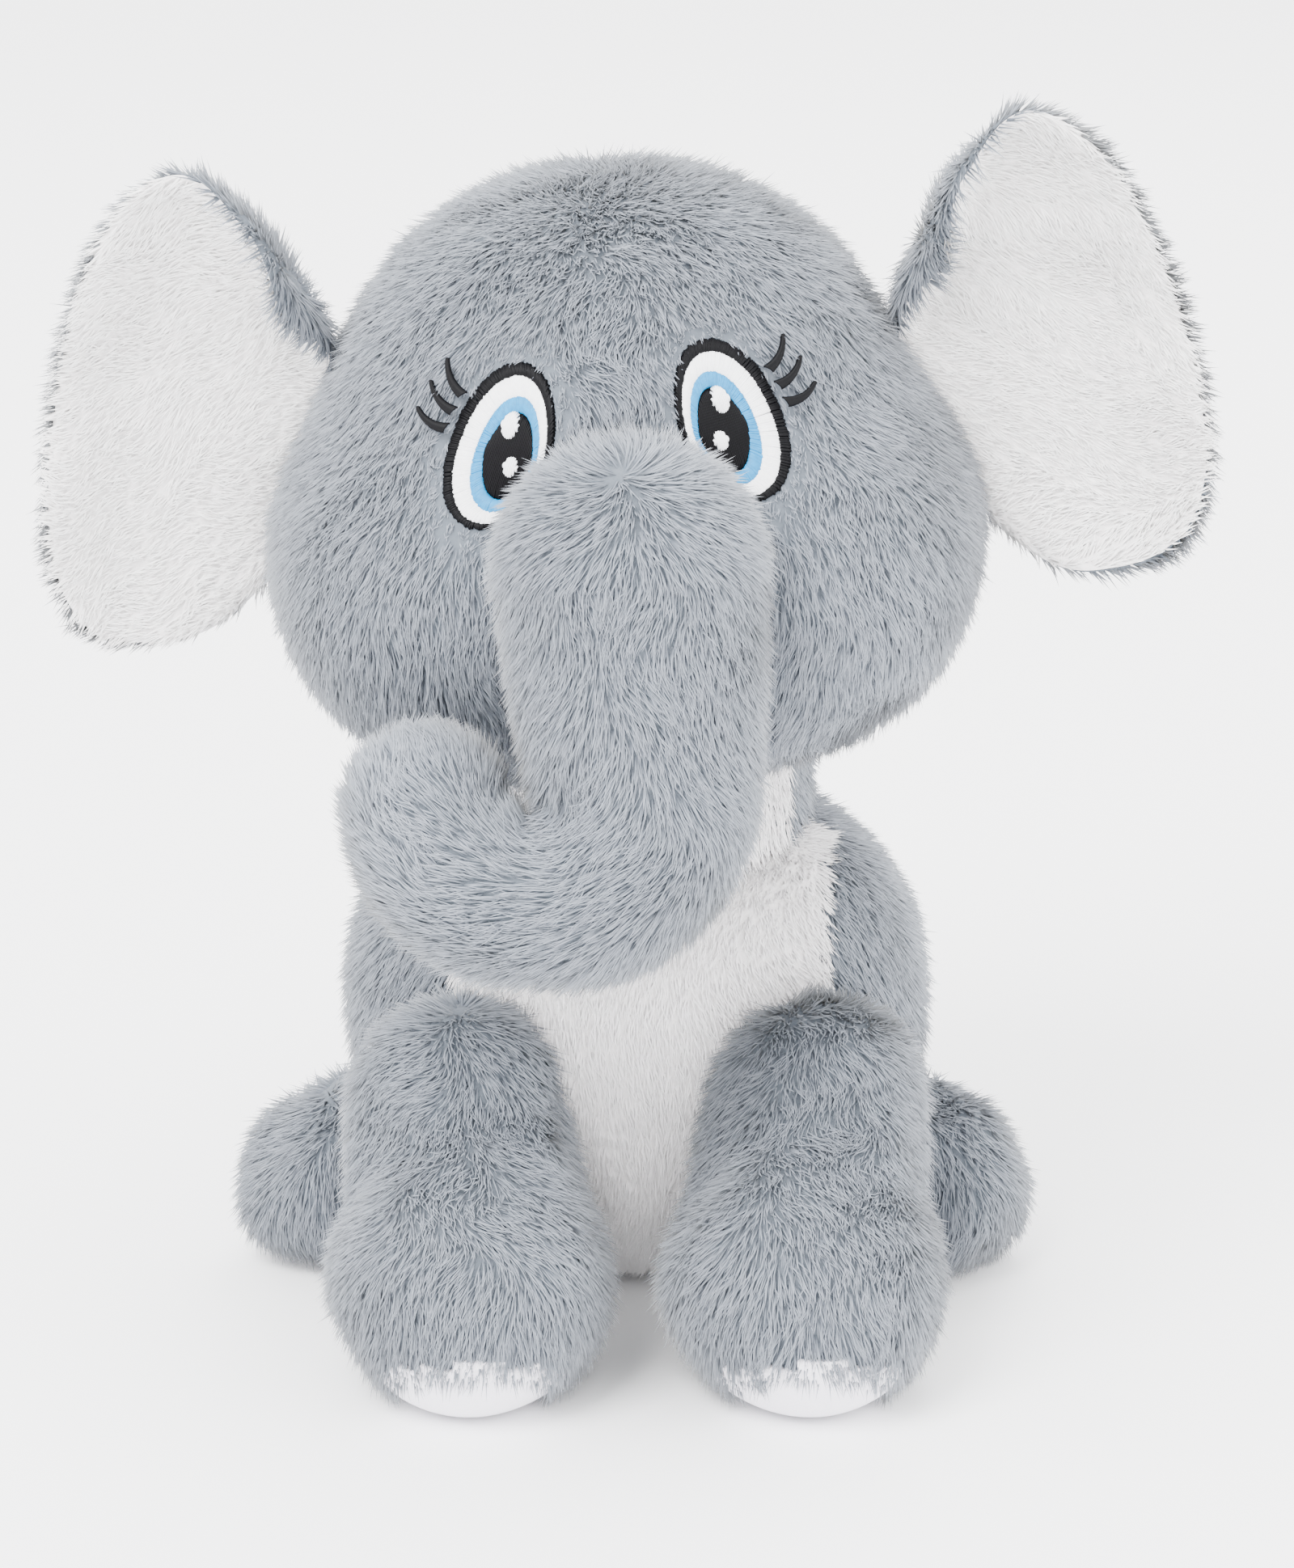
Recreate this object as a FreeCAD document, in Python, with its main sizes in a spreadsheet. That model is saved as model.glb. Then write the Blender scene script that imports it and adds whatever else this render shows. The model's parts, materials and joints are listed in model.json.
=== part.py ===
"""Sitting plush elephant, 29 cm tall, built from its cut panels, fillings and sewn-on pieces.

Millimetres, +Z up, the animal faces -Y and its own left is +X. The origin is the middle of
the seat, on the floor. Each limb, ear, trunk part and the tail turns on a rounded root that
sits in a socket of its neighbour, so that it can swing as the sewn joint lets it.
"""

import FreeCAD
import Part
import math
import os
import re

from FreeCAD import Placement, Rotation, Vector

doc = FreeCAD.newDocument("sitting_elephant")
sheet = doc.addObject("Spreadsheet::Sheet", "sizes")

SIZES = {
    # cloth and clearances
    "pile": 5.0,  # plush cloth with its pressed pile
    "slack": 0.3,  # between a skin and its filling, and round each rounded root
    "squeeze": 0.4,  # between a limb and the body that it presses against
    "sole_cloth": 4.0,  # short-pile cloth under the feet and the seat
    # torso
    "torso_width": 138.0,
    "torso_depth": 120.0,
    "torso_height": 121.0,
    "bib_width": 88.0,  # the white belly panel
    "bag_width": 66.0,  # bag of pellets that weighs the seat down
    "bag_height": 24.0,
    # neck
    "neck_radius": 22.0,
    "neck_forward": 8.0,
    "neck_height": 127.0,
    # head
    "head_width": 170.0,
    "head_depth": 146.0,
    "head_height": 146.0,
    "head_forward": 14.0,  # head centre ahead of the neck pivot
    "head_roll": 4.0,  # degrees, the head leans to the animal's right
    "gusset_width": 28.0,  # strip from the trunk over the crown to the nape
    # trunk
    "trunk_root_radius": 31.0,
    "trunk_radius": 23.0,
    "trunk_tip_radius": 21.0,
    "trunk_low": 4.0,  # root centre below the head's middle
    "trunk_drop": 46.0,  # straight run below the root
    "trunk_bend": 24.0,  # radius of the curl
    "trunk_lean": 17.0,  # degrees, the curl's plane leans forward
    "trunk_joint_turn": 60.0,  # degrees of curl down to the tip's joint
    "trunk_tip_turn": 110.0,  # degrees of curl past that joint
    "trunk_side": 3.0,
    "trunk_out": 2.0,  # root centre ahead of the face
    # ears
    "ear_cloth": 4.0,
    "ear_wadding": 3.0,
    "ear_cup": 110.0,  # radius of the hollow
    "ear_reach": 61.0,
    "ear_top": 72.0,
    "ear_bottom": 44.0,
    "ear_root_length": 44.0,
    "ear_root_radius": 4.5,
    "ear_lean": 17.0,  # degrees
    "ear_yaw": 8.0,  # degrees, the free edge comes forward
    # eyes
    "eye_width": 25.0,
    "eye_height": 37.0,
    "eye_tilt": 10.0,  # degrees
    "eye_thread": 2.0,  # thickness of the embroidery
    "eye_sink": 2.2,  # how far the pressed pile lies under the surface
    "eye_out_angle": 23.2,  # degrees from straight ahead
    "eye_up_angle": 22.0,  # degrees above the head's centre
    "stitch_gap": 0.2,
    "lash_width": 1.3,
    # front legs
    "foreleg_radius": 27.5,
    "shoulder_height": 57.0,
    "shoulder_spread": 41.5,
    "shoulder_forward": 55.0,
    "forefoot_width": 68.0,
    "forefoot_depth": 70.0,
    "forefoot_spread": 38.0,
    "forefoot_forward": 87.0,
    # hind legs
    "thigh_radius": 25.0,
    "thigh_height": 23.0,
    "hip_spread": 62.0,
    "hip_forward": 3.0,
    "hindfoot_radius": 19.0,
    "hindfoot_reach": 14.0,  # foot centre beyond the hip
    "left_splay": 32.0,  # degrees, towards the front
    "right_splay": 12.0,
    # tail
    "tail_root_radius": 7.0,
    "tail_radius": 5.0,
    "tail_length": 40.0,
    "tail_height": 34.0,
    "tail_droop": 20.0,  # degrees below level
    "tuft_radius": 8.0,
    "tuft_length": 22.0,
}
for row, (alias, value) in enumerate(SIZES.items(), 1):
    sheet.set(f"A{row}", alias)
    sheet.set(f"B{row}", str(value))
    sheet.setAlias(f"B{row}", alias)
doc.recompute()

parts = {}
SIDES = (("left", 1), ("right", -1))
FAR = 400.0  # beyond everything


def size(alias):
    """A driving dimension as a number, for what is placed by code."""
    return float(sheet.get(alias))


def bound(formula):
    """The formula with each driving dimension's alias made a reference to its cell."""
    return re.sub(r"[a-z_]+", lambda m: f"sizes.{m[0]}" if m[0] in SIZES else m[0], formula)


def make(kind, name, at=None, turn=None, **formulas):
    """A document object whose named properties follow formulas of the driving dimensions."""
    made = doc.addObject(kind, name)
    if at is not None or turn is not None:
        made.Placement = Placement(Vector(*(at or (0, 0, 0))), turn or Rotation())
    for prop, formula in formulas.items():
        made.setExpression(prop, bound(formula))
    return made


def ball(name, radius, at=(0, 0, 0)):
    return make("Part::Sphere", name, at, Radius=radius)


def cut(name, base, *tools):
    """The base less each tool in turn."""
    for n, tool in enumerate(tools):
        made = doc.addObject("Part::Cut", f"{name}_{n}" if n < len(tools) - 1 else name)
        made.Base, made.Tool, made.Refine = base, tool, False
        base = made
    return base


def common(name, base, tool):
    made = doc.addObject("Part::Common", name)
    made.Base, made.Tool, made.Refine = base, tool, False
    return made


def fuse(name, *members):
    made = doc.addObject("Part::MultiFuse", name)
    made.Shapes = list(members)
    return made


def carve(name, base, *tools):
    """The base less all tools at once, which suits sockets that run into one another."""
    doc.recompute()
    made = doc.addObject("Part::Feature", name)
    made.Shape = base.Shape.cut([tool.Shape for tool in tools])
    return made


def slab(name, low, high):
    """A box between two corners, for parting a skin into its panels."""
    made = doc.addObject("Part::Box", name)
    made.Length, made.Width, made.Height = (h - l for l, h in zip(low, high))
    made.Placement = Placement(Vector(*low), Rotation())
    return made


def part(node, feature, place=None):
    """Names a sub-part and puts it where it belongs."""
    feature.Label = node
    if place is not None:
        feature.Placement = place.multiply(feature.Placement)
    parts[node] = feature
    return feature


def egg(name, levels, width, depth, height, inset="0", at=(0, 0, 0), shift=(0, 0), turn=None):
    """A closed rounded solid lofted through level ellipses.

    Each level is (height share from -1 to 1, width share, depth share, shift share). The
    inset is taken off every half size, so a smaller egg is the skin's inside or its filling.
    """
    rings = []
    for n, (rise, wide, deep, shifted) in enumerate(levels):
        across = f"({width} / 2 - ({inset})) * {wide}"
        through = f"({depth} / 2 - ({inset})) * {deep}"
        ring = make(
            "Part::Ellipse",
            f"{name}_ring{n}",
            MajorRadius=f"max({across}; {through})",
            MinorRadius=f"min({across}; {through})",
        )
        ring.setExpression("Placement.Base.z", bound(f"({height} / 2 - ({inset})) * {rise}"))
        ring.Placement.Base = Vector(shift[0] * shifted, shift[1] * shifted, 0)
        rings.append(ring)
    made = doc.addObject("Part::Loft", name)
    made.Sections, made.Solid, made.Ruled = rings, True, False
    made.Placement = Placement(Vector(*at), turn or Rotation())
    return made


# ---------------------------------------------------------------- torso
TORSO_LEVELS = (
    (-1.00, 0.64, 0.66, 0),
    (-0.87, 0.80, 0.82, 0),
    (-0.60, 0.94, 0.95, 0),
    (-0.18, 1.00, 1.00, 0),
    (0.20, 0.97, 0.97, 0),
    (0.52, 0.925, 0.92, 0),
    (0.80, 0.83, 0.80, 0),
    (0.95, 0.70, 0.66, 0),
    (1.00, 0.48, 0.46, 0),
)
neck_pivot = Vector(0, -size("neck_forward"), size("neck_height"))


def torso_egg(name, inset):
    return egg(
        name, TORSO_LEVELS, "torso_width", "torso_depth", "torso_height", inset,
        at=(0, 0, size("torso_height") / 2),
    )


# ---------------------------------------------------------------- legs
FORELEG_LEVELS = (
    (-1.00, 0.84, 0.86, 1.00),
    (-0.82, 0.96, 0.97, 1.00),
    (-0.40, 1.00, 1.00, 0.98),
    (0.15, 0.91, 0.89, 0.70),
    (0.60, 0.77, 0.74, 0.32),
)

def foreleg(name, side, inset="0"):
    """Front leg: foot and shank lofted up into the ball that it swings on."""
    spread, forward = size("shoulder_spread"), size("shoulder_forward")
    half = size("shoulder_height") / 2
    shift = (size("forefoot_spread") - spread, forward - size("forefoot_forward"))
    rings = []
    for n, (rise, wide, deep, shifted) in enumerate(FORELEG_LEVELS):
        ring = make(
            "Part::Ellipse",
            f"{name}_ring{n}",
            at=(side * (spread + shift[0] * shifted), -forward + shift[1] * shifted, 0),
        )
        # the deeper half size runs along Y, so the ellipse is turned a quarter
        ring.Placement.Rotation = Rotation(Vector(0, 0, 1), 90)
        through = f"(forefoot_depth / 2 - ({inset})) * {deep}"
        across = f"(forefoot_width / 2 - ({inset})) * {wide}"
        ring.setExpression("MajorRadius", bound(f"max({across}; {through})"))
        ring.setExpression("MinorRadius", bound(f"min({across}; {through})"))
        lift = f"({inset}) * {round(-rise, 3)}"
        ring.setExpression(
            "Placement.Base.z", bound(f"shoulder_height / 2 * (1 + {rise}) + {lift}")
        )
        rings.append(ring)
    top = make(
        "Part::Ellipse", f"{name}_top", at=(side * spread, -forward, 0),
        MajorRadius=f"0.9 * (foreleg_radius - ({inset}))",
        MinorRadius=f"0.9 * (foreleg_radius - ({inset}))",
    )
    top.setExpression("Placement.Base.z", "sizes.shoulder_height + 3")
    shank = doc.addObject("Part::Loft", f"{name}_shank")
    shank.Sections, shank.Solid, shank.Ruled = rings + [top], True, False
    dome = ball(f"{name}_dome", f"foreleg_radius - ({inset})", (side * spread, -forward, 2 * half))
    return fuse(name, shank, dome)


def hindleg(name, side, inset="0", floor=0.0):
    """Hind leg on the floor: a round thigh that turns in the torso, drawn out to a smaller foot."""
    splay = size("left_splay" if side > 0 else "right_splay")
    hip = (side * size("hip_spread"), -size("hip_forward"), size("thigh_height"))
    wide, narrow = size("thigh_radius"), size("hindfoot_radius")
    reach, fall = size("hindfoot_reach"), size("thigh_height") - narrow
    apart = math.hypot(reach, fall)
    turn = Rotation(Vector(0, 0, 1), -side * splay)
    out = turn.multVec(Vector(side * reach, 0, -fall))
    foot = Vector(*hip) + out
    slope = (wide - narrow) / apart
    grip = math.sqrt(1 - slope**2)
    thigh = ball(f"{name}_thigh", f"thigh_radius - ({inset})", hip)
    toe = ball(f"{name}_toe", f"hindfoot_radius - ({inset})", tuple(foot))
    # the tangent cone between the two balls
    taper = make(
        "Part::Cone", f"{name}_taper", turn=Rotation(Vector(0, 0, 1), out),
        Radius1=f"(thigh_radius - ({inset})) * {grip}",
        Radius2=f"(hindfoot_radius - ({inset})) * {grip}",
        Height=f"{apart - slope * (wide - narrow)}",
    )
    offset = bound(f"(thigh_radius - ({inset})) * {slope / apart}")
    for axis, base, along in zip("xyz", hip, out):
        taper.setExpression(f"Placement.Base.{axis}", f"{base} + {along} * {offset}")
    above = slab(f"{name}_floor", (-FAR, -FAR, floor), (FAR, FAR, FAR))
    return common(name, fuse(f"{name}_whole", thigh, taper, toe), above)


def halves(node, shell, axis_x, place=None):
    """Parts a leg's skin at its front and back seams, above the sole."""
    side = math.copysign(1, axis_x)
    for label, end in (("inner", -side * FAR), ("outer", side * FAR)):
        low, high = sorted((axis_x, end))
        block = slab(f"{node}_{label}_slab", (low, -FAR, size("sole_cloth")), (high, FAR, FAR))
        part(f"{node}_{label}_panel", common(f"{node}_{label}_panel_cut", shell, block), place)


def sole_of(node, outer):
    """The flat pad under a foot or the seat."""
    block = slab(f"{node}_slab", (-FAR, -FAR, -FAR), (FAR, FAR, size("sole_cloth")))
    return part(node, common(f"{node}_cut", outer, block))


leg_rooms = []
for name, side in SIDES:
    # front leg
    outer = foreleg(f"{name}_foreleg_outer", side)
    inner = foreleg(f"{name}_foreleg_inner", side, "pile")
    skin = cut(f"{name}_foreleg_skin", outer, inner)
    halves(f"{name}_foreleg", skin, side * (size("shoulder_spread") + size("forefoot_spread")) / 2)
    sole_of(f"{name}_forefoot_sole", outer)
    part(f"{name}_foreleg_filling", foreleg(f"{name}_foreleg_fill", side, "pile + slack"))
    fore_room = foreleg(f"{name}_foreleg_room", side, "-squeeze")

    # hind leg
    outer = hindleg(f"{name}_hindleg_outer", side)
    skin = cut(f"{name}_hindleg_skin", outer, hindleg(f"{name}_hindleg_inner", side, "pile"))
    halves(f"{name}_hindleg", skin, side * (size("hip_spread") + size("hindfoot_reach") / 2))
    sole_of(f"{name}_hindfoot_sole", outer)
    floor = size("sole_cloth") + size("slack")
    filling = hindleg(f"{name}_hindleg_fill", side, "pile + slack", floor)
    part(f"{name}_hindleg_filling", filling)
    leg_rooms += [hindleg(f"{name}_hindleg_room", side, "-squeeze"), fore_room]

# ---------------------------------------------------------------- tail
tail_root = Vector(0, 0.955 * size("torso_depth") / 2, size("tail_height"))
tail_turn = Rotation(Vector(1, 0, 0), -90 - size("tail_droop"))
tail_place = Placement(tail_root, tail_turn)
tail_ball = ball("tail_ball", "tail_root_radius")
tail_tube = make("Part::Cylinder", "tail_tube", Radius="tail_radius", Height="tail_length")
part("tail_cord", fuse("tail_skin", tail_ball, tail_tube), tail_place)
tuft = make(
    "Part::Cone", "tail_brush", at=(0, 0, size("tail_length") + size("slack")),
    Radius1="tail_radius", Radius2="tuft_radius", Height="tuft_length",
)
part("tail_tuft", tuft, tail_place)
tail_room = ball("tail_room", "tail_root_radius + slack", tuple(tail_root))

# ---------------------------------------------------------------- neck
part("neck_filling", ball("neck_ball", "neck_radius", tuple(neck_pivot)))
neck_room = ball("neck_room", "neck_radius + slack", tuple(neck_pivot))

# ---------------------------------------------------------------- torso skin, filling, pellets
torso_outer = torso_egg("torso_outer", "0")
torso_inner = torso_egg("torso_inner", "pile")
rooms = [neck_room, tail_room, *leg_rooms]
torso_skin = carve("torso_skin", torso_outer, torso_inner, *rooms)
half_bib = size("bib_width") / 2
sole = size("sole_cloth")
for node, low, high in (
    ("belly_panel", (-half_bib, -FAR), (half_bib, 0)),
    ("back_panel", (-half_bib, 0), (half_bib, FAR)),
    ("left_flank_panel", (half_bib, -FAR), (FAR, FAR)),
    ("right_flank_panel", (-FAR, -FAR), (-half_bib, FAR)),
):
    block = slab(f"{node}_block", (*low, sole), (*high, FAR))
    part(node, common(f"{node}_cut", torso_skin, block))
seat_block = slab("seat_block", (-FAR, -FAR, -FAR), (FAR, FAR, sole))
seat_disc = common("seat_disc", torso_outer, seat_block)
part("seat_panel", carve("seat_panel_cut", seat_disc, *leg_rooms))
bag_centre = (0, 0, size("pile") + size("slack") * 2 + size("bag_height") / 2)


def bag(name, inset):
    return make(
        "Part::Ellipsoid", name, at=bag_centre,
        Radius1=f"bag_height / 2 - ({inset})", Radius2=f"bag_width / 2 - ({inset})",
        Radius3=f"bag_width / 2 - ({inset})",
    )


part("pellet_bag", bag("pellet_bag_body", "0"))
filling = torso_egg("torso_fill", "pile + slack")
part("torso_filling", carve("torso_filling_cut", filling, bag("bag_room", "-slack"), *rooms))

# ---------------------------------------------------------------- head, in its own frame
HEAD_LEVELS = (
    (-1.00, 0.40, 0.42, 0),
    (-0.92, 0.63, 0.62, 0),
    (-0.78, 0.76, 0.77, 0),
    (-0.55, 0.925, 0.92, 0),
    (-0.30, 1.00, 0.99, 0),
    (0.00, 0.965, 1.00, 0),
    (0.30, 0.845, 0.95, 0),
    (0.55, 0.725, 0.84, 0),
    (0.78, 0.56, 0.65, 0),
    (0.93, 0.34, 0.41, 0),
    (1.00, 0.16, 0.20, 0),
)
head_centre = Vector(0, -size("head_forward"), size("head_height") / 2)
head_place = Placement(neck_pivot, Rotation(Vector(0, 1, 0), -size("head_roll")))


def head_egg(name, inset):
    return egg(
        name, HEAD_LEVELS, "head_width", "head_depth", "head_height", inset, at=tuple(head_centre)
    )


def face_point(shape, out_angle, up_angle, origin):
    """Where a ray from the origin, turned out from straight ahead and up, leaves the shape."""
    out, up = math.radians(out_angle), math.radians(up_angle)
    ray = Vector(math.sin(out) * math.cos(up), -math.cos(out) * math.cos(up), math.sin(up))
    inside = shape.common(Part.makeLine(origin, origin + ray * FAR))
    return max((v.Point for v in inside.Vertexes), key=lambda p: p.distanceToPoint(origin))


head_outer = head_egg("head_outer", "0")
doc.recompute()
head_shape = head_outer.Shape

# ---------------------------------------------------------------- trunk, in its own frame
trunk_root = Vector(
    size("trunk_side"),
    -size("head_forward") - size("head_depth") / 2 - size("trunk_out"),
    size("head_height") / 2 - size("trunk_low"),
)
trunk_frame = Placement(trunk_root, Rotation(Vector(1, 0, 0), -size("trunk_lean")))
curl_centre = Vector(-size("trunk_bend"), 0, -size("trunk_drop"))


def curl(name, radius, start, turn):
    """A stretch of the trunk's curl, from a start angle below level through a turn."""
    ring = make("Part::Torus", name, Radius1="trunk_bend", Radius2=radius)
    ring.Angle3 = turn
    ring.Placement = Placement(
        curl_centre, Rotation(Vector(0, 1, 0), start) * Rotation(Vector(1, 0, 0), -90)
    )
    return ring


def on_curl(turn):
    """A point of the curl's centreline."""
    angle = math.radians(turn)
    along = Vector(math.cos(angle), 0, -math.sin(angle))
    return curl_centre + along * size("trunk_bend")


joint_turn = size("trunk_joint_turn")
rim_turn = joint_turn - math.degrees(6.0 / size("trunk_bend"))
tip_joint = on_curl(joint_turn)


def trunk_base(name, inset):
    root = ball(f"{name}_root", f"trunk_root_radius - ({inset})")
    run = make(
        "Part::Cone", f"{name}_run", turn=Rotation(Vector(1, 0, 0), 180),
        Radius1=f"trunk_root_radius - ({inset})", Radius2=f"trunk_radius - ({inset})",
        Height="trunk_drop",
    )
    bend = curl(f"{name}_bend", f"trunk_radius - ({inset})", 0, rim_turn)
    return fuse(name, root, run, bend)


def trunk_tip(name, inset):
    radius = f"trunk_tip_radius - ({inset})"
    root = ball(f"{name}_root", radius, tuple(tip_joint))
    bend = curl(f"{name}_bend", radius, joint_turn, size("trunk_tip_turn"))
    end = ball(f"{name}_end", radius, tuple(on_curl(joint_turn + size("trunk_tip_turn"))))
    return fuse(name, root, bend, end)


trunk_place = head_place.multiply(trunk_frame)
tip_room = ball("tip_room", "trunk_tip_radius + slack", tuple(tip_joint))
base_skin = cut(
    "trunk_base_shell", trunk_base("trunk_base_outer", "0"), trunk_base("trunk_base_inner", "pile"),
    tip_room,
)
part("trunk_base_skin", base_skin, trunk_place)
base_fill = cut("trunk_base_core", trunk_base("trunk_base_fill", "pile + slack"), tip_room)
part("trunk_base_filling", base_fill, trunk_place)
tip_skin = cut(
    "trunk_tip_shell", trunk_tip("trunk_tip_outer", "0"), trunk_tip("trunk_tip_inner", "pile")
)
part("trunk_tip_skin", tip_skin, trunk_place)
part("trunk_tip_filling", trunk_tip("trunk_tip_fill", "pile + slack"), trunk_place)
trunk_room = trunk_base("trunk_room", "-squeeze")
trunk_room.Placement = trunk_frame

# ---------------------------------------------------------------- ears
EAR_RISE = 6.0  # degrees above the head's middle
cup = size("ear_cup")


def ear_outline(side, start, inset):
    """The cut of an ear: straight seams between round lobes, seen from the front."""
    reach, top, bottom = (size(w) - inset for w in ("ear_reach", "ear_top", "ear_bottom"))
    upper, lower, corner = 0.44 * reach, 0.42 * reach, 6.0
    circles = (
        (start + corner, -0.60 * bottom, corner),
        (reach - lower - 4, -bottom + lower, lower),
        (reach - upper, top - upper, upper),
        (start + corner, 0.60 * top, corner),
    )
    edges, joins = [], []
    for n, (x0, z0, r0) in enumerate(circles):
        x1, z1, r1 = circles[(n + 1) % len(circles)]
        across, rise = x1 - x0, z1 - z0
        apart = math.hypot(across, rise)
        # the shared outer tangent of two circles, walked counter-clockwise
        normal = math.atan2(rise, across) - math.acos((r0 - r1) / apart)
        nx, nz = math.cos(normal), math.sin(normal)
        joins.append(((x0 + r0 * nx, z0 + r0 * nz), (x1 + r1 * nx, z1 + r1 * nz)))
    for n, (x, z, r) in enumerate(circles):
        arrive, leave = joins[n - 1][1], joins[n][0]
        a0 = math.atan2(arrive[1] - z, arrive[0] - x)
        a1 = math.atan2(leave[1] - z, leave[0] - x)
        middle = a0 + ((a1 - a0) % (2 * math.pi)) / 2
        way = (x + r * math.cos(middle), z + r * math.sin(middle))
        points = [Vector(side * p[0], 0, p[1]) for p in (arrive, way, leave)]
        edges.append(Part.Arc(*points).toShape())
        ends = [Vector(side * p[0], 0, p[1]) for p in joins[n]]
        edges.append(Part.LineSegment(*ends).toShape())
    face = Part.Face(Part.Wire(Part.__sortEdges__(edges)))
    return face.extrude(Vector(0, FAR / 2, 0)).translated(Vector(0, -FAR / 4, 0))


def ear_layer(side, near, far, start, inset=0.0):
    """One cloth of the ear, between two spheres that hollow it towards the front."""
    middle = size("ear_reach") / 2
    centre = Vector(side * middle, -math.sqrt(cup**2 - middle**2), 0)
    shell = Part.makeSphere(cup + far, centre).cut(Part.makeSphere(cup + near, centre))
    return shell.common(ear_outline(side, start, inset))


def ear_rod(radius, length):
    return Part.makeCylinder(radius, length, Vector(0, 0, -length / 2), Vector(0, 0, 1))


def solid_part(node, shape, place):
    made = doc.addObject("Part::Feature", node)
    made.Shape = shape
    return part(node, made, place)


ear_grooves = []
half_wadding = size("ear_wadding") / 2
ear_gap = size("slack")
for name, side in SIDES:
    seat = face_point(head_shape, side * 93, EAR_RISE, head_centre)
    lean = Rotation(Vector(0, 1, 0), -side * size("ear_lean"))
    ear_place = Placement(seat, lean * Rotation(Vector(0, 0, 1), -side * size("ear_yaw")))
    world = head_place.multiply(ear_place)
    rod = ear_rod(size("ear_root_radius"), size("ear_root_length"))
    room = ear_rod(size("ear_root_radius") + ear_gap, size("ear_root_length") + 2 * ear_gap)
    near = half_wadding + ear_gap
    back = ear_layer(side, near, near + size("ear_cloth"), start=0.75 * size("ear_root_radius"))
    front_start = 1.25 * size("ear_root_radius")
    front = ear_layer(side, -near - size("ear_cloth"), -near, front_start)
    wadding = ear_layer(side, -half_wadding, half_wadding, front_start, inset=2.0)
    solid_part(f"{name}_ear_back", back.fuse(rod).removeSplitter(), world)
    solid_part(f"{name}_ear_front", front.cut(room), world)
    solid_part(f"{name}_ear_wadding", wadding.cut(room), world)
    groove = doc.addObject("Part::Feature", f"{name}_ear_groove")
    groove.Shape = room
    groove.Placement = ear_place
    ear_grooves.append(groove)

# ---------------------------------------------------------------- eyes
eye_pockets = []
half_eye = (size("eye_width") / 2, size("eye_height") / 2)
thread, sink, stitch = size("eye_thread"), size("eye_sink"), size("stitch_gap")


def eye_disc(side, wide, high, inward=0.0, down=0.0, grow=0.0, deep=None):
    """An oval slab of embroidery, its centre moved towards the nose and down."""
    deep = thread if deep is None else deep
    high, wide = high * half_eye[1] + grow, wide * half_eye[0] + grow
    oval = Part.Ellipse(Vector(0, 0, 0), high, wide).toShape()
    slab_shape = Part.Face(Part.Wire(oval)).extrude(Vector(0, 0, deep))
    slab_shape.Placement = Placement(
        Vector(-side * inward, -down, -sink), Rotation(Vector(0, 0, 1), 90)
    )
    return slab_shape


def lash(side, rise, angle, grow=0.0, deep=None):
    """One eyelash: a bar that curves up as it leaves the outline."""
    deep = thread if deep is None else deep
    bend, sweep = 9.0, 50.0
    half = size("lash_width") / 2 + grow
    start, end = math.radians(-90), math.radians(-90 + sweep)

    def at(radius, turn):
        return Vector(radius * math.cos(turn), bend + radius * math.sin(turn), 0)

    middle = (start + end) / 2
    rim = [
        Part.Arc(at(bend + half, start), at(bend + half, middle), at(bend + half, end)),
        Part.LineSegment(at(bend + half, end), at(bend - half, end)),
        Part.Arc(at(bend - half, end), at(bend - half, middle), at(bend - half, start)),
        Part.LineSegment(at(bend - half, start), at(bend + half, start)),
    ]
    face = Part.Face(Part.Wire([e.toShape() for e in rim]))
    bar = face.extrude(Vector(0, 0, deep))
    edge = half_eye[0] * math.sqrt(1 - (rise / half_eye[1]) ** 2) + 2 * stitch
    bar.Placement = Placement(Vector(edge, rise, -sink), Rotation(Vector(0, 0, 1), angle))
    return bar if side > 0 else bar.mirror(Vector(0, 0, 0), Vector(1, 0, 0))


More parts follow.
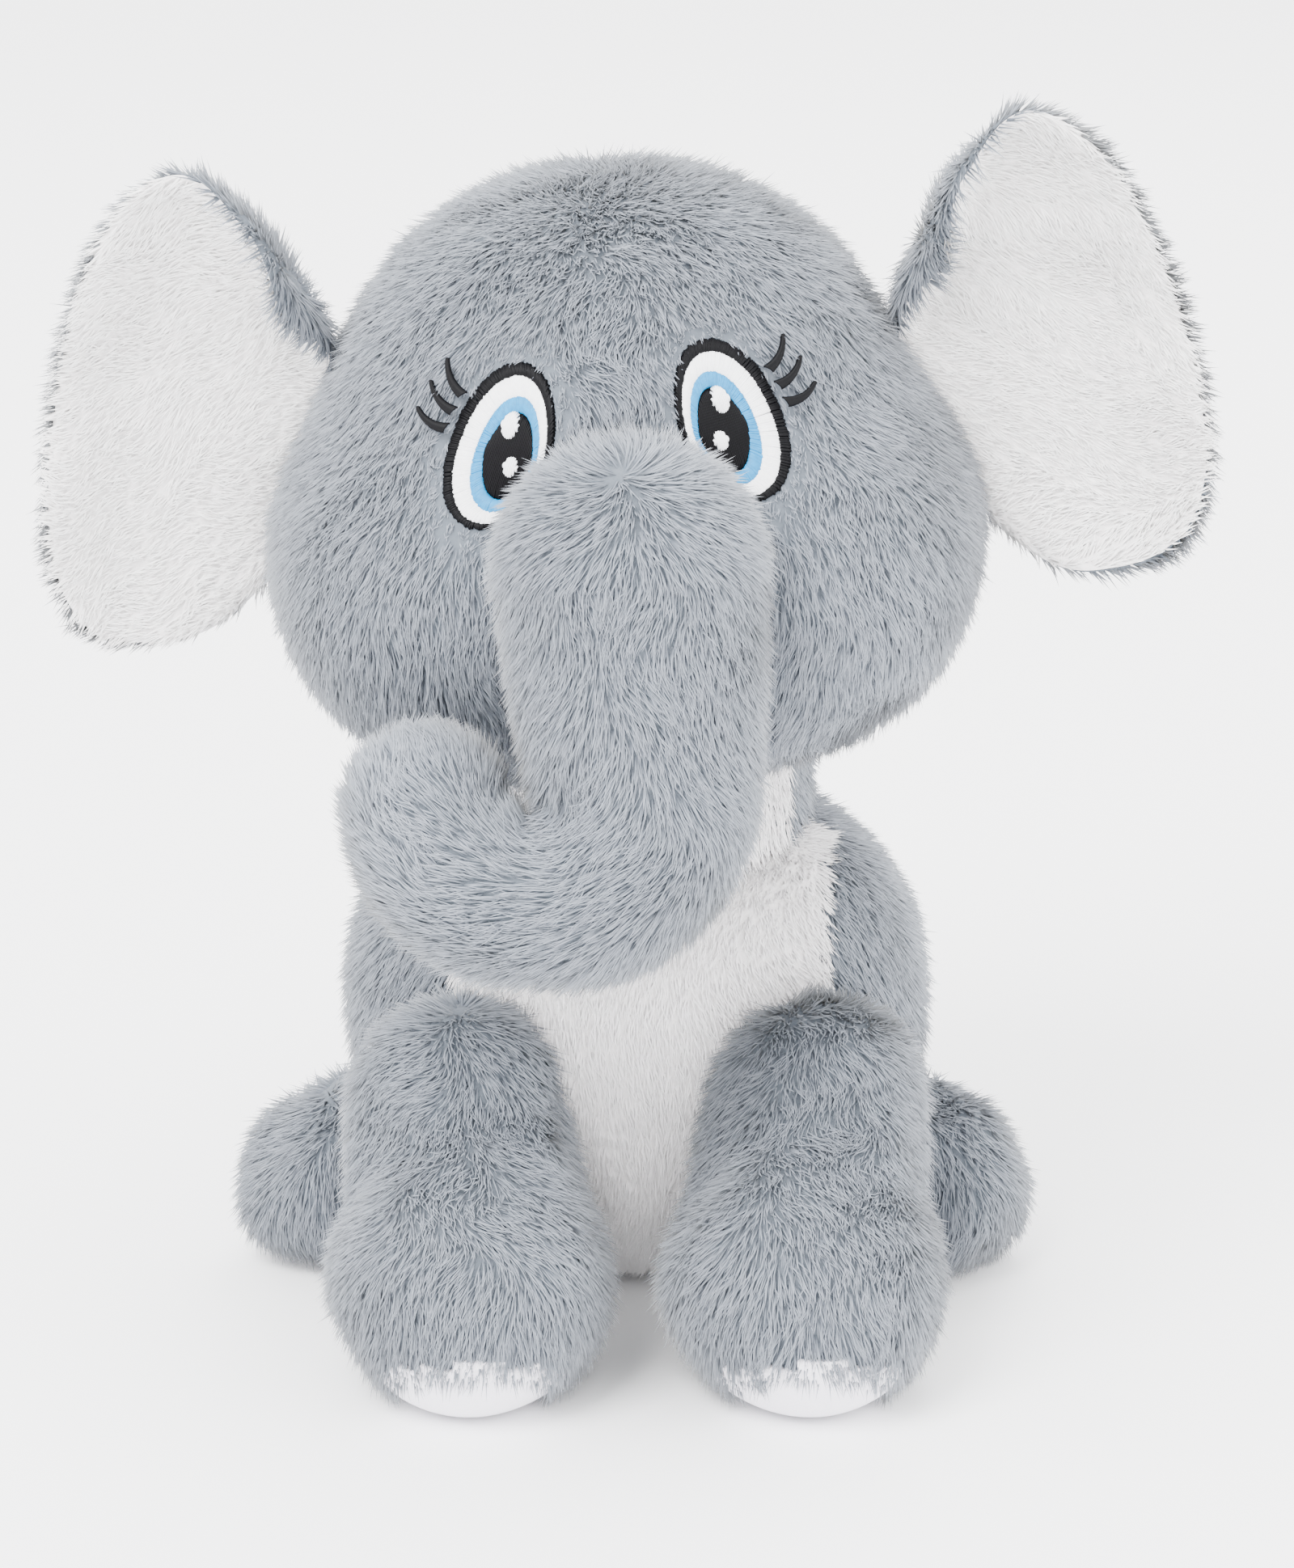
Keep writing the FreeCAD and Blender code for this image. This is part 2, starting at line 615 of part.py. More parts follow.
LASHES = ((8.0, 18.0), (4.0, 4.0), (0.0, -12.0))
for name, side in SIDES:
    out_angle, up_angle = side * size("eye_out_angle"), size("eye_up_angle")
    at = face_point(head_shape, out_angle, up_angle, head_centre)
    step = 6.0
    sideways = face_point(head_shape, out_angle + step, up_angle, head_centre) - face_point(
        head_shape, out_angle - step, up_angle, head_centre
    )
    upwards = face_point(head_shape, out_angle, up_angle + step, head_centre) - face_point(
        head_shape, out_angle, up_angle - step, head_centre
    )
    outward = sideways.cross(upwards)
    tilt = Rotation(Vector(0, 0, 1), side * size("eye_tilt"))
    frame = Placement(at, Rotation(sideways, upwards, outward, "ZXY") * tilt)
    world = head_place.multiply(frame)
    # keeps the embroidery out of the trunk's root, in the eye's own frame
    trunk_tool = Part.makeSphere(size("trunk_root_radius") + 2 * size("squeeze"), trunk_root)
    trunk_tool.Placement = frame.inverse().multiply(trunk_tool.Placement)
    glint_high = eye_disc(side, 0.15, 0.17, inward=1.0, down=-4.6)
    glint_low = eye_disc(side, 0.13, 0.14, inward=4.2, down=4.0)
    glint_rooms = [
        eye_disc(side, 0.15, 0.17, 1.0, -4.6, stitch),
        eye_disc(side, 0.13, 0.14, 4.2, 4.0, stitch),
    ]
    rings = {
        "outline": (eye_disc(side, 1, 1), eye_disc(side, 0.88, 0.91, 0.6, 0.8, stitch)),
        "white": (
            eye_disc(side, 0.88, 0.91, 0.6, 0.8),
            eye_disc(side, 0.66, 0.73, 2.0, 1.6, stitch),
        ),
        "iris": (
            eye_disc(side, 0.66, 0.73, 2.0, 1.6),
            eye_disc(side, 0.50, 0.58, 2.6, 1.8, stitch),
        ),
    }
    for label, (whole, hole) in rings.items():
        solid_part(f"{name}_eye_{label}", whole.cut(hole).cut(trunk_tool), world)
    pupil = eye_disc(side, 0.50, 0.58, 2.6, 1.8).cut(glint_rooms[0]).cut(glint_rooms[1])
    solid_part(f"{name}_eye_pupil", pupil.cut(trunk_tool), world)
    solid_part(
        f"{name}_eye_glints", Part.makeCompound([glint_high, glint_low]), world
    )
    bars = [lash(side, rise, angle) for rise, angle in LASHES]
    solid_part(f"{name}_eyelashes", Part.makeCompound(bars), world)
    pocket = eye_disc(side, 1, 1, grow=stitch, deep=3 * thread)
    for rise, angle in LASHES:
        pocket = pocket.fuse(lash(side, rise, angle, stitch, 3 * thread))
    room = doc.addObject("Part::Feature", f"{name}_eye_pocket")
    room.Shape = pocket
    room.Placement = frame
    eye_pockets.append(room)

# ---------------------------------------------------------------- head skin and filling
neck_socket = ball("neck_socket", "neck_radius + slack")
rooms = [neck_socket, trunk_room, *ear_grooves]
head_skin = carve("head_skin", head_outer, head_egg("head_inner", "pile"), *rooms, *eye_pockets)
half_gusset = size("gusset_width") / 2
middle = size("head_height") / 2
for node, low, high in (
    ("head_gusset", (-half_gusset, -FAR, middle), (half_gusset, FAR, FAR)),
    ("chin_panel", (-half_gusset, -FAR, -FAR), (half_gusset, 0, middle)),
    ("nape_panel", (-half_gusset, 0, -FAR), (half_gusset, FAR, middle)),
    ("left_head_panel", (half_gusset, -FAR, -FAR), (FAR, FAR, FAR)),
    ("right_head_panel", (-FAR, -FAR, -FAR), (-half_gusset, FAR, FAR)),
):
    block = slab(f"{node}_block", low, high)
    part(node, common(f"{node}_cut", head_skin, block), head_place)
head_filling = carve("head_filling_cut", head_egg("head_fill", "pile + slack"), *rooms)
part("head_filling", head_filling, head_place)

# ---------------------------------------------------------------- check and write
doc.recompute()
faults = [o.Name for o in doc.Objects if "Invalid" in o.State or "Error" in o.State]
if faults:
    raise RuntimeError(f"features that failed: {faults}")
broken = [
    node for node, made in parts.items()
    if made.Shape.isNull() or not made.Shape.isValid() or not made.Shape.Solids
]
if broken:
    raise RuntimeError(f"sub-parts that are not valid solids: {broken}")
os.makedirs("parts", exist_ok=True)
for node, made in parts.items():
    made.Shape.exportStep(f"parts/{node}.step")
    print(f"{node}: {len(made.Shape.Solids)} solid(s), {made.Shape.Volume / 1000:.1f} cm3")
print(f"{len(parts)} sub-parts")
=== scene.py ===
"""Sitting plush elephant: furred skins over the stuffed forms, stitched eyes, smooth soles."""
import json
import math

import bmesh
import bpy
import numpy as np
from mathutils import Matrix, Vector
from mathutils.kdtree import KDTree


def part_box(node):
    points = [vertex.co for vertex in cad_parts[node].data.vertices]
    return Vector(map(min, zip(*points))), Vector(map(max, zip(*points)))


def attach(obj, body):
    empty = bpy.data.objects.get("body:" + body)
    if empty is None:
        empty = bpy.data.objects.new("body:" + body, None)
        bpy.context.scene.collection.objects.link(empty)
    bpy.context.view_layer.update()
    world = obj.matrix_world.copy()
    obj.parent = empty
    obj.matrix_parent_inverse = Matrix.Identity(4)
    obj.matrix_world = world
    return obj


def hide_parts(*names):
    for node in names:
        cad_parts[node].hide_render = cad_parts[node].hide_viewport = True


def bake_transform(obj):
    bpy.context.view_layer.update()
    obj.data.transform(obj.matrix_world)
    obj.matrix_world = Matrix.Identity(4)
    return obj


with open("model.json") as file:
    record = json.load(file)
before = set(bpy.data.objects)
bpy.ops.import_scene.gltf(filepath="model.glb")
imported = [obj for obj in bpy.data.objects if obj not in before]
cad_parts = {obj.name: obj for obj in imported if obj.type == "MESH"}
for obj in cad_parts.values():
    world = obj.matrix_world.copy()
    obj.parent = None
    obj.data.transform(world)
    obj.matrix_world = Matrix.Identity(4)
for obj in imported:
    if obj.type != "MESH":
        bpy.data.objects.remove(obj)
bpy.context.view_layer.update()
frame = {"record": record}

MM = 0.001
JOINTS = {j["name"]: j for j in frame["record"]["behaviour"]["joints"]}
SIDES = (("left", 1), ("right", -1))


def at(joint):
    """Where a joint turns."""
    return np.array(JOINTS[joint]["pos_m"])


def unit(v):
    """Vectors scaled to length one."""
    return v / np.maximum(np.linalg.norm(v, axis=-1, keepdims=True), 1e-9)


def span(*nodes):
    """Lowest and highest corners of several nodes together."""
    boxes = [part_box(n) for n in nodes]
    return np.min([b[0] for b in boxes], axis=0), np.max([b[1] for b in boxes], axis=0)


# ---------------------------------------------------------------- materials
class Value:
    """A socket that takes part in sums, so that a material reads like a formula."""

    def __init__(self, tree, socket):
        self.tree, self.socket = tree, socket

    def _math(self, operation, *others, swap=False):
        node = self.tree.nodes.new("ShaderNodeMath")
        node.operation = operation
        values = (*others, self) if swap else (self, *others)
        for port, value in zip(node.inputs, values):
            if isinstance(value, Value):
                self.tree.links.new(value.socket, port)
            else:
                port.default_value = value
        return Value(self.tree, node.outputs[0])

    def __add__(self, other): return self._math("ADD", other)
    def __radd__(self, other): return self._math("ADD", other)
    def __sub__(self, other): return self._math("SUBTRACT", other)
    def __rsub__(self, other): return self._math("SUBTRACT", other, swap=True)
    def __mul__(self, other): return self._math("MULTIPLY", other)
    def __rmul__(self, other): return self._math("MULTIPLY", other)
    def __truediv__(self, other): return self._math("DIVIDE", other)
    def __pow__(self, other): return self._math("POWER", other)
    def floor(self): return self._math("FLOOR")
    def above(self, level): return self._math("GREATER_THAN", level)


class Finish:
    """A material with one Principled shader and a method that adds any other node."""

    def __init__(self, name, **constants):
        self.material = bpy.data.materials.new(name)
        self.material.use_nodes = True
        self.tree = self.material.node_tree
        self.shader = self.tree.nodes["Principled BSDF"]
        for socket, value in constants.items():
            self.shader.inputs[socket.replace("_", " ")].default_value = value

    def node(self, kind, settings=None, out=0, **inputs):
        """A node: its settings first, then the values or links of its sockets."""
        made = self.tree.nodes.new(kind)
        for key, value in (settings or {}).items():
            if key == "stops":
                ramp = made.color_ramp
                for n, (place, colour) in enumerate(value):
                    stop = ramp.elements[n] if n < 2 else ramp.elements.new(place)
                    stop.position, stop.color = place, (*colour, 1)
            else:
                setattr(made, key, value)
        for key, value in inputs.items():
            port = made.inputs[int(key[1:]) if key[1:].isdigit() else key.replace("_", " ")]
            if isinstance(value, Value):
                self.tree.links.new(value.socket, port)
            else:
                port.default_value = value
        return Value(self.tree, made.outputs[out])

    def feed(self, socket, value):
        self.tree.links.new(value.socket, self.shader.inputs[socket])

    def place(self):
        return self.node("ShaderNodeTexCoord", out=3)

    def mix(self, factor, first, second):
        """One colour turning into another."""
        return self.node(
            "ShaderNodeMix", {"data_type": "RGBA"}, out=2, _0=factor, _6=first, _7=second
        )

    def bump(self, height, strength, distance):
        bumped = self.node(
            "ShaderNodeBump", Strength=strength, Distance=distance, Height=height
        )
        self.feed("Normal", bumped)


CELLS = 64


def pile_finish(name, root, middle, tip, gap_shade_colour, gap_shade_share):
    """Plush fibre: pale at the tip and darkened towards the root as painted shade between the fibres;
    each fibre a little different, and a share of whole fibres darkened as painted shade of the gaps
    between tufts.
    """
    cloth = Finish(name, Roughness=0.85, Sheen_Weight=0.25, Sheen_Roughness=0.5)
    cloth.shader.inputs["Specular IOR Level"].default_value = 0.25
    uv = cloth.node("ShaderNodeUVMap", {"uv_map": "OFBake"})
    across = cloth.node("ShaderNodeSeparateXYZ", Vector=uv)
    along = cloth.node("ShaderNodeSeparateXYZ", out=1, Vector=uv)
    strand = cloth.node("ShaderNodeTexWhiteNoise", {"noise_dimensions": "1D"},
                        W=(across * CELLS).floor())
    # painted shade: the ramp darkens each fibre towards its root, where shade falls between the fibres
    tone = cloth.node(
        "ShaderNodeValToRGB",
        {"stops": ((0.0, root), (1.0, tip), (0.45, middle), (0.8, tip))},
        Fac=along + (strand - 0.5) * 0.22,
    )
    # painted shade: a share of whole fibres take the dark gap colour, which stands in for the shade in
    # the gaps between tufts
    colour = cloth.mix(strand.above(1 - gap_shade_share) * 0.6, tone, (*gap_shade_colour, 1))
    cloth.feed("Base Color", colour)
    return cloth.material


def backing_finish(name, low, high, scale=350.0):
    """Knitted backing seen between the fibres."""
    cloth = Finish(name, Roughness=0.95, Sheen_Weight=0.1)
    noise = cloth.node("ShaderNodeTexNoise", Vector=cloth.place(), Scale=scale, Detail=3.0)
    cloth.feed("Base Color", cloth.mix(noise, (*low, 1), (*high, 1)))
    cloth.bump(noise, 0.6, 0.0008)
    return cloth.material


def sole_finish(name):
    """Short smooth nap, pale lilac white, softly mottled."""
    cloth = Finish(name, Roughness=0.8, Sheen_Weight=0.35, Sheen_Roughness=0.4)
    broad = cloth.node("ShaderNodeTexNoise", Vector=cloth.place(), Scale=60.0, Detail=4.0)
    fine = cloth.node("ShaderNodeTexNoise", Vector=cloth.place(), Scale=1600.0, Detail=2.0)
    tone = cloth.mix(broad * 0.6 + fine * 0.4, (0.72, 0.69, 0.77, 1), (0.92, 0.90, 0.95, 1))
    cloth.feed("Base Color", tone)
    cloth.bump(fine, 0.5, 0.0004)
    return cloth.material


def thread_finish(name, dark, light, gloss=0.35):
    """Lustrous embroidery thread, its tone varying from stitch to stitch."""
    silk = Finish(name, Specular_IOR_Level=gloss)
    noise = silk.node("ShaderNodeTexNoise", Vector=silk.place(), Scale=900.0, Detail=2.0)
    silk.feed("Base Color", silk.mix(noise, (*dark, 1), (*light, 1)))
    silk.feed("Roughness", noise * 0.2 + 0.4)
    return silk.material


# each pile's first colour is the painted shade at its fibre roots, and its fifth the painted shade of
# the gaps between tufts
GREY_PILE = pile_finish(
    "grey_plush_pile", (0.075, 0.090, 0.112), (0.170, 0.190, 0.222), (0.265, 0.288, 0.328),
    (0.07, 0.082, 0.105), 0.10,
)
WHITE_PILE = pile_finish(
    "white_plush_pile", (0.80, 0.77, 0.76), (0.92, 0.90, 0.89), (0.97, 0.965, 0.96),
    (0.66, 0.63, 0.62), 0.08,
)
BELLY_PILE = pile_finish(
    "white_belly_nap", (0.76, 0.72, 0.74), (0.88, 0.85, 0.86), (0.95, 0.935, 0.94),
    (0.72, 0.68, 0.71), 0.04,
)
GREY_BACKING = backing_finish("grey_backing", (0.065, 0.078, 0.098), (0.12, 0.138, 0.16))
WHITE_BACKING = backing_finish("white_backing", (0.70, 0.67, 0.67), (0.84, 0.82, 0.82))
SOLE = sole_finish("sole_nap")
THREADS = {
    "outline": thread_finish("black_thread", (0.001, 0.001, 0.0015), (0.004, 0.004, 0.005), 0.1),
    "white": thread_finish("white_thread", (0.74, 0.75, 0.78), (0.95, 0.95, 0.96)),
    "iris": thread_finish("blue_thread", (0.0, 0.12, 0.28), (0.0, 0.27, 0.58)),
    "pupil": thread_finish("pupil_thread", (0.001, 0.001, 0.0015), (0.003, 0.003, 0.004), 0.1),
}


# ---------------------------------------------------------------- soft forms
def egg(centre, radii):
    """Signed depth of an ellipsoid: (length of the scaled offset less one) times its least radius."""
    centre, radii = np.array(centre), np.array(radii)
    return lambda p: (np.linalg.norm((p - centre) / radii, axis=-1) - 1) * radii.min()


def capsule(start, end, r_start, r_end):
    """Distance to a segment less a radius that changes evenly along it."""
    start, end = np.array(start), np.array(end)
    run = end - start

    def field(p):
        t = np.clip((p - start) @ run / (run @ run), 0, 1)
        near = start + t[..., None] * run
        return np.linalg.norm(p - near, axis=-1) - (r_start + t * (r_end - r_start))

    return field


def melt(fields, k):
    """Forms that flow into one another within k: the smooth least of their depths."""

    def field(p):
        depth = fields[0](p)
        for other in fields[1:]:
            e = other(p)
            h = np.clip(0.5 + 0.5 * (e - depth) / k, 0, 1)
            depth = e * (1 - h) + depth * h - k * h * (1 - h)
        return depth

    return field


def sat(field, k=0.006, floor=0.0006):
    """A form pressed flat where it sits on the floor."""

    def pressed(p):
        depth, under = field(p), floor - p[..., 2]
        h = np.clip(0.5 + 0.5 * (under - depth) / k, 0, 1)
        return under * h + depth * (1 - h) + k * h * (1 - h)

    return pressed


def new_mesh(name, points, faces, material):
    mesh = bpy.data.meshes.new(name)
    mesh.from_pydata(points.tolist(), [], faces)
    mesh.materials.append(material)
    mesh.shade_smooth()
    made = bpy.data.objects.new(name, mesh)
    bpy.context.scene.collection.objects.link(made)
    face_outward(made)
    return made


def face_outward(made):
    """Turns the faces outward where the enclosed volume comes out negative."""
    work = bmesh.new()
    work.from_mesh(made.data)
    bmesh.ops.recalc_face_normals(work, faces=work.faces)
    work.to_mesh(made.data)
    work.free()


def globe_faces(rings, around):
    """Quads between rings and fans at both poles; the poles are the first and last points."""
    last = rings * around + 1
    faces = [(0, 1 + i, 1 + (i + 1) % around) for i in range(around)]
    for r in range(rings - 1):
        a, b = 1 + r * around, 1 + (r + 1) * around
        faces += [
            (a + i, b + i, b + (i + 1) % around, a + (i + 1) % around) for i in range(around)
        ]
    a = 1 + (rings - 1) * around
    faces += [(a + i, last, a + (i + 1) % around) for i in range(around)]
    return faces


SWELLS = np.array([[5.1, -3.2, 2.4], [-3.7, 4.4, 5.3], [2.9, 6.1, -4.6], [-6.3, -2.2, 3.5]])
SWELL_STARTS = np.array([0.3, 1.9, 4.1, 2.7])


def blown(name, centre, field, material, rings=90, around=160, lump=0.5 * MM):
    """A skin blown up from a point: along each ray, the distance where the form's depth is nil.

    Four crossing sines of the ray's direction add the slight lumps of stuffing.
    """
    centre = np.array(centre)
    polar = np.linspace(0, np.pi, rings + 2)[1:-1, None]
    turn = np.linspace(0, 2 * np.pi, around, endpoint=False)[None, :]
    rays = np.stack(
        [np.sin(polar) * np.cos(turn), np.sin(polar) * np.sin(turn), np.cos(polar) + 0 * turn], -1
    ).reshape(-1, 3)
    rays = np.vstack([[0, 0, 1], rays, [0, 0, -1]])
    low, high = np.zeros(len(rays)), np.full(len(rays), 0.2)
    for _ in range(26):
        mid = (low + high) / 2
        inside = field(centre + rays * mid[:, None]) < 0
        low, high = np.where(inside, mid, low), np.where(inside, high, mid)
    lumps = np.sin(rays @ SWELLS.T + SWELL_STARTS).sum(axis=1, keepdims=True) * lump
    points = centre + rays * (low[:, None] + lumps)
    points[:, 2] = np.maximum(points[:, 2], 0.3 * MM)
    return new_mesh(name, points, globe_faces(rings, around), material)


def patch(name, skin, keep, material, lift):
    """A cloth patch: the skin's faces where keep holds, lifted along the normals and thickened."""
    mesh = skin.data
    points, normals = mesh_points(mesh)
    faces = [tuple(p.vertices) for p in mesh.polygons]
    chosen = keep(points)
    kept = [f for f in faces if all(chosen[i] for i in f)]
    used = sorted({i for f in kept for i in f})
    index = {v: n for n, v in enumerate(used)}
    moved = points[used] + normals[used] * lift
    made = new_mesh(name, moved, [tuple(index[i] for i in f) for f in kept], material)
    thick = made.modifiers.new("thickness", "SOLIDIFY")
    thick.thickness, thick.offset = 2 * lift, -1
    return made


def mesh_points(mesh):
    """Corner points and their smooth normals as arrays."""
    count = len(mesh.vertices)
    points, normals = np.empty(count * 3), np.empty(count * 3)
    mesh.vertices.foreach_get("co", points)
    mesh.vertex_normals.foreach_get("vector", normals)
    return points.reshape(-1, 3), normals.reshape(-1, 3)


# ---------------------------------------------------------------- pile
PILE_LIMIT = 48000  # fibres in one piece


def tufts(points, spacing, seed):
    """The nearest centre of a jittered lattice: in each cell one point, the nearest of 27 wins."""
    cell = np.floor(points / spacing)
    best = np.full(len(points), np.inf)
    centre = np.zeros_like(points)
    for dx in (-1, 0, 1):
        for dy in (-1, 0, 1):
            for dz in (-1, 0, 1):
                c = cell + (dx, dy, dz)
                mix = c[:, 0] * 127.1 + c[:, 1] * 311.7 + c[:, 2] * 74.7 + seed
                jitter = np.stack([np.sin(mix) * 43758.5, np.sin(mix + 1.3) * 24634.6,
                                   np.sin(mix + 2.9) * 15731.7], -1)
                spot = (c + 0.5 + 0.42 * (2 * (jitter % 1) - 1)) * spacing
                gap = np.linalg.norm(points - spot, axis=1)
                nearer = gap < best
                best = np.where(nearer, gap, best)
                centre[nearer] = spot[nearer]
    return centre


def waves(points, seed):
    """A broad unrest in the lie of the pile: three sines across one another in each direction."""
    draw = np.random.default_rng(seed + 1000)
    tilt = draw.normal(size=(3, 3, 3)) / (7 * MM)
    phase = draw.uniform(0, 6.28, (3, 3))
    return np.sin(np.einsum("pc,dkc->pdk", points, tilt) + phase).sum(axis=2) / 1.7


def pile(name, skins, material, slot, rides, density, length, comb, keep, seed,
         lean=0.92, clump=0.5, width=0.33 * MM, spacing=4.0 * MM, limit=None, shorten=None):
    """Plush fibres: slim three-sided spikes set by area, combed, and drawn together in tufts."""
    draw = np.random.default_rng(seed)
    roots, normals = [], []
    for skin in skins:
        mesh = skin.data
        points, smooth = mesh_points(mesh)
        mesh.calc_loop_triangles()
        corners = np.empty(len(mesh.loop_triangles) * 3, dtype=np.int32)
        mesh.loop_triangles.foreach_get("vertices", corners)
        corners = corners.reshape(-1, 3)
        if limit:
            corners = corners[(corners < limit).all(axis=1)]
        a, b, c = (points[corners[:, i]] for i in range(3))
        area = np.linalg.norm(np.cross(b - a, c - a), axis=1) / 2
        count = int(area.sum() / (MM * MM) * density)
        pick = draw.choice(len(area), count, p=area / area.sum())
        u, v = draw.random(count), draw.random(count)
        fold = u + v > 1
        u, v = np.where(fold, 1 - u, u)[:, None], np.where(fold, 1 - v, v)[:, None]
        w = 1 - u - v
        ids = corners[pick]
        roots.append(w * points[ids[:, 0]] + u * points[ids[:, 1]] + v * points[ids[:, 2]])
        normals.append(w * smooth[ids[:, 0]] + u * smooth[ids[:, 1]] + v * smooth[ids[:, 2]])
    roots, normals = np.vstack(roots), unit(np.vstack(normals))
    chosen = keep(roots)
    roots, normals = roots[chosen], normals[chosen]
    count = len(roots)

    flow = comb(roots) + 0.38 * waves(roots, seed)
    flow = flow - normals * np.sum(flow * normals, axis=1, keepdims=True)
    swirl = draw.normal(size=(count, 3)) * 0.16
    aim = unit(normals * (1.36 - lean) + unit(flow) * lean + swirl)
    reach = length * draw.uniform(0.72, 1.1, count)[:, None]
    if shorten:
        reach = reach * shorten(roots)[:, None]
    centre = tufts(roots, spacing, seed)
    centre = centre - normals * np.sum((centre - roots) * normals, axis=1, keepdims=True)
    tips = roots + aim * reach + (centre - roots) * clump
    tips[:, 2] = np.maximum(tips[:, 2], 0.4 * MM)
    aim = unit(tips - roots)
    side = unit(np.cross(aim, normals + draw.normal(size=(count, 3)) * 0.2))
    third = np.cross(aim, side)

    pieces = []
    for part, first in enumerate(range(0, count, PILE_LIMIT)):
        pieces.append(spikes(
            name if count <= PILE_LIMIT else f"{name}_{part + 1}",
            roots[first:first + PILE_LIMIT], tips[first:first + PILE_LIMIT],
            side[first:first + PILE_LIMIT], third[first:first + PILE_LIMIT],
            normals[first:first + PILE_LIMIT], width, material, draw,
        ))
    for piece in pieces:
        rides(piece)
    return pieces


def spikes(name, roots, tips, side, third, normals, width, material, draw):
    """Closed three-sided spikes: a triangle round each root, and one point at each tip."""
    count = len(roots)
    points = np.empty((count, 4, 3))
    base = roots - normals * 0.6 * MM
    for corner in range(3):
        angle = 2 * math.pi * corner / 3
        points[:, corner] = base + width * (math.cos(angle) * side + math.sin(angle) * third)
    points[:, 3] = tips
    points[:, :, 2] = np.maximum(points[:, :, 2], 0.2 * MM)
    pattern = np.array([[0, 1, 3], [1, 2, 3], [2, 0, 3], [2, 1, 0]])
    faces = (pattern[None] + 4 * np.arange(count)[:, None, None]).reshape(-1)
    mesh = bpy.data.meshes.new(name)
    mesh.vertices.add(count * 4)
    mesh.vertices.foreach_set("co", points.reshape(-1))
    mesh.loops.add(count * 12)
    mesh.loops.foreach_set("vertex_index", faces.astype(np.int32))
    mesh.polygons.add(count * 4)
    mesh.polygons.foreach_set("loop_start", np.arange(0, count * 12, 3, dtype=np.int32))
    mesh.update(calc_edges=True)
    column = draw.integers(0, CELLS, count)[:, None] / CELLS
    # along runs from root to tip; the pile finishes paint shade towards the root by it
    along = np.array([0.0, 0.03, 0.0, 0.98])
    across = np.array([0.1, 0.5, 0.9, 0.5]) / CELLS
    uv = np.stack(
        [np.broadcast_to(column + across, (count, 4)), np.broadcast_to(along, (count, 4))], -1
    ).reshape(-1, 2)
    layer = mesh.uv_layers.new(name="OFBake")
    layer.data.foreach_set("uv", uv[faces].reshape(-1))
    mesh.shade_smooth()
    own = unit(points - points.mean(axis=1, keepdims=True))
    soft = unit(normals[:, None] * 0.75 + own * 0.45)
    mesh.normals_split_custom_set_from_vertices(soft.reshape(-1, 3).tolist())
    mesh.materials.append(material)
    made = bpy.data.objects.new(name, mesh)
    bpy.context.scene.collection.objects.link(made)
    return made


def on(body):
    """Lets a piece ride on a body."""
    return lambda piece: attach(piece, body)


# ---------------------------------------------------------------- sizes read from the frame
neck = at("head_nod")
head_right = -np.array(JOINTS["trunk_lift"]["axis"])
head_frame = np.stack([head_right, [0, 1, 0], np.cross(head_right, [0, 1, 0])], 1)
head_low, head_high = span("left_head_panel", "right_head_panel", "head_gusset", "chin_panel")
head_size = head_high - head_low
head_middle = (head_low + head_high) / 2
torso_low, torso_high = span("back_panel", "belly_panel", "left_flank_panel",
                             "right_flank_panel", "seat_panel")
torso_half = (torso_high - torso_low) / 2
bib_half = (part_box("belly_panel")[1][0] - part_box("belly_panel")[0][0]) / 2
gusset_half = 14 * MM
SKIN = 4.5 * MM  # the backing lies this far inside the pressed pile


def in_head(p):
    """Points given in the head's leaning frame, about its middle."""
    return head_middle + np.asarray(p) @ head_frame.T


def from_head(p):
    return (p - head_middle) @ head_frame


# ---------------------------------------------------------------- head
hw, hd, hh = head_size / 2 - SKIN


def head_field(p):
    """Wide cheeks below, a narrower crown above and a raised strip down the middle."""
    q = from_head(p)
    form = melt([
        egg((0, 0, -0.20 * hh), (hw, 0.98 * hd, 0.80 * hh)),
        egg((0, 2 * MM, 0.33 * hh), (0.74 * hw, 0.84 * hd, 0.67 * hh)),
        egg((0.42 * hw, -0.50 * hd, -0.28 * hh), (0.46 * hw, 0.46 * hd, 0.48 * hh)),
        egg((-0.42 * hw, -0.50 * hd, -0.28 * hh), (0.46 * hw, 0.46 * hd, 0.48 * hh)),
        egg((0, -0.52 * hd, 0.22 * hh), (0.20 * hw, 0.46 * hd, 0.52 * hh)),
    ], 16 * MM)
    return form(q)


# ---------------------------------------------------------------- trunk
trunk_root = at("trunk_lift")
trunk_back = -np.array(JOINTS["trunk_uncurl"]["axis"])
trunk_frame = np.stack([head_right, trunk_back, np.cross(head_right, trunk_back)], 1)
tip_joint = (at("trunk_uncurl") - trunk_root) @ trunk_frame
BEND = 24 * MM
JOINT_TURN = math.radians(60)
TRUNK_TURN = math.radians(172)
drop = -tip_joint[2] - BEND * math.sin(JOINT_TURN)
run = drop + BEND * TRUNK_TURN


def trunk_line(s):
    """Centreline: straight down for the drop, then round the bend, by the length walked."""
    s = np.asarray(s, dtype=float)
    turn = np.clip(s - drop, 0, None) / BEND
    x = -BEND + BEND * np.cos(turn)
    z = -np.minimum(s, drop) - BEND * np.sin(turn)
    points = trunk_root + np.stack([x, 0 * x, z], -1) @ trunk_frame.T
    ahead = np.stack([-np.sin(turn), 0 * turn, -np.cos(turn)], -1)
    return points, ahead @ trunk_frame.T, turn


def trunk_radius(s):
    """Thick at the root, slimmer round the bend."""
    return np.interp(s / run, (0, 0.25, 0.5, 0.75, 1), np.array((32.5, 30, 26.5, 23.5, 21)) * MM) - SKIN


trunk_steps = np.linspace(0, run, 40)
trunk_samples = trunk_line(trunk_steps)[0]


def trunk_field(p):
    """Least distance to the centreline's samples less the radius there."""
    depth = np.full(p.shape[:-1], np.inf)
    for centre, radius in zip(trunk_samples, trunk_radius(trunk_steps)):
        depth = np.minimum(depth, np.linalg.norm(p - centre, axis=-1) - radius)
    return depth


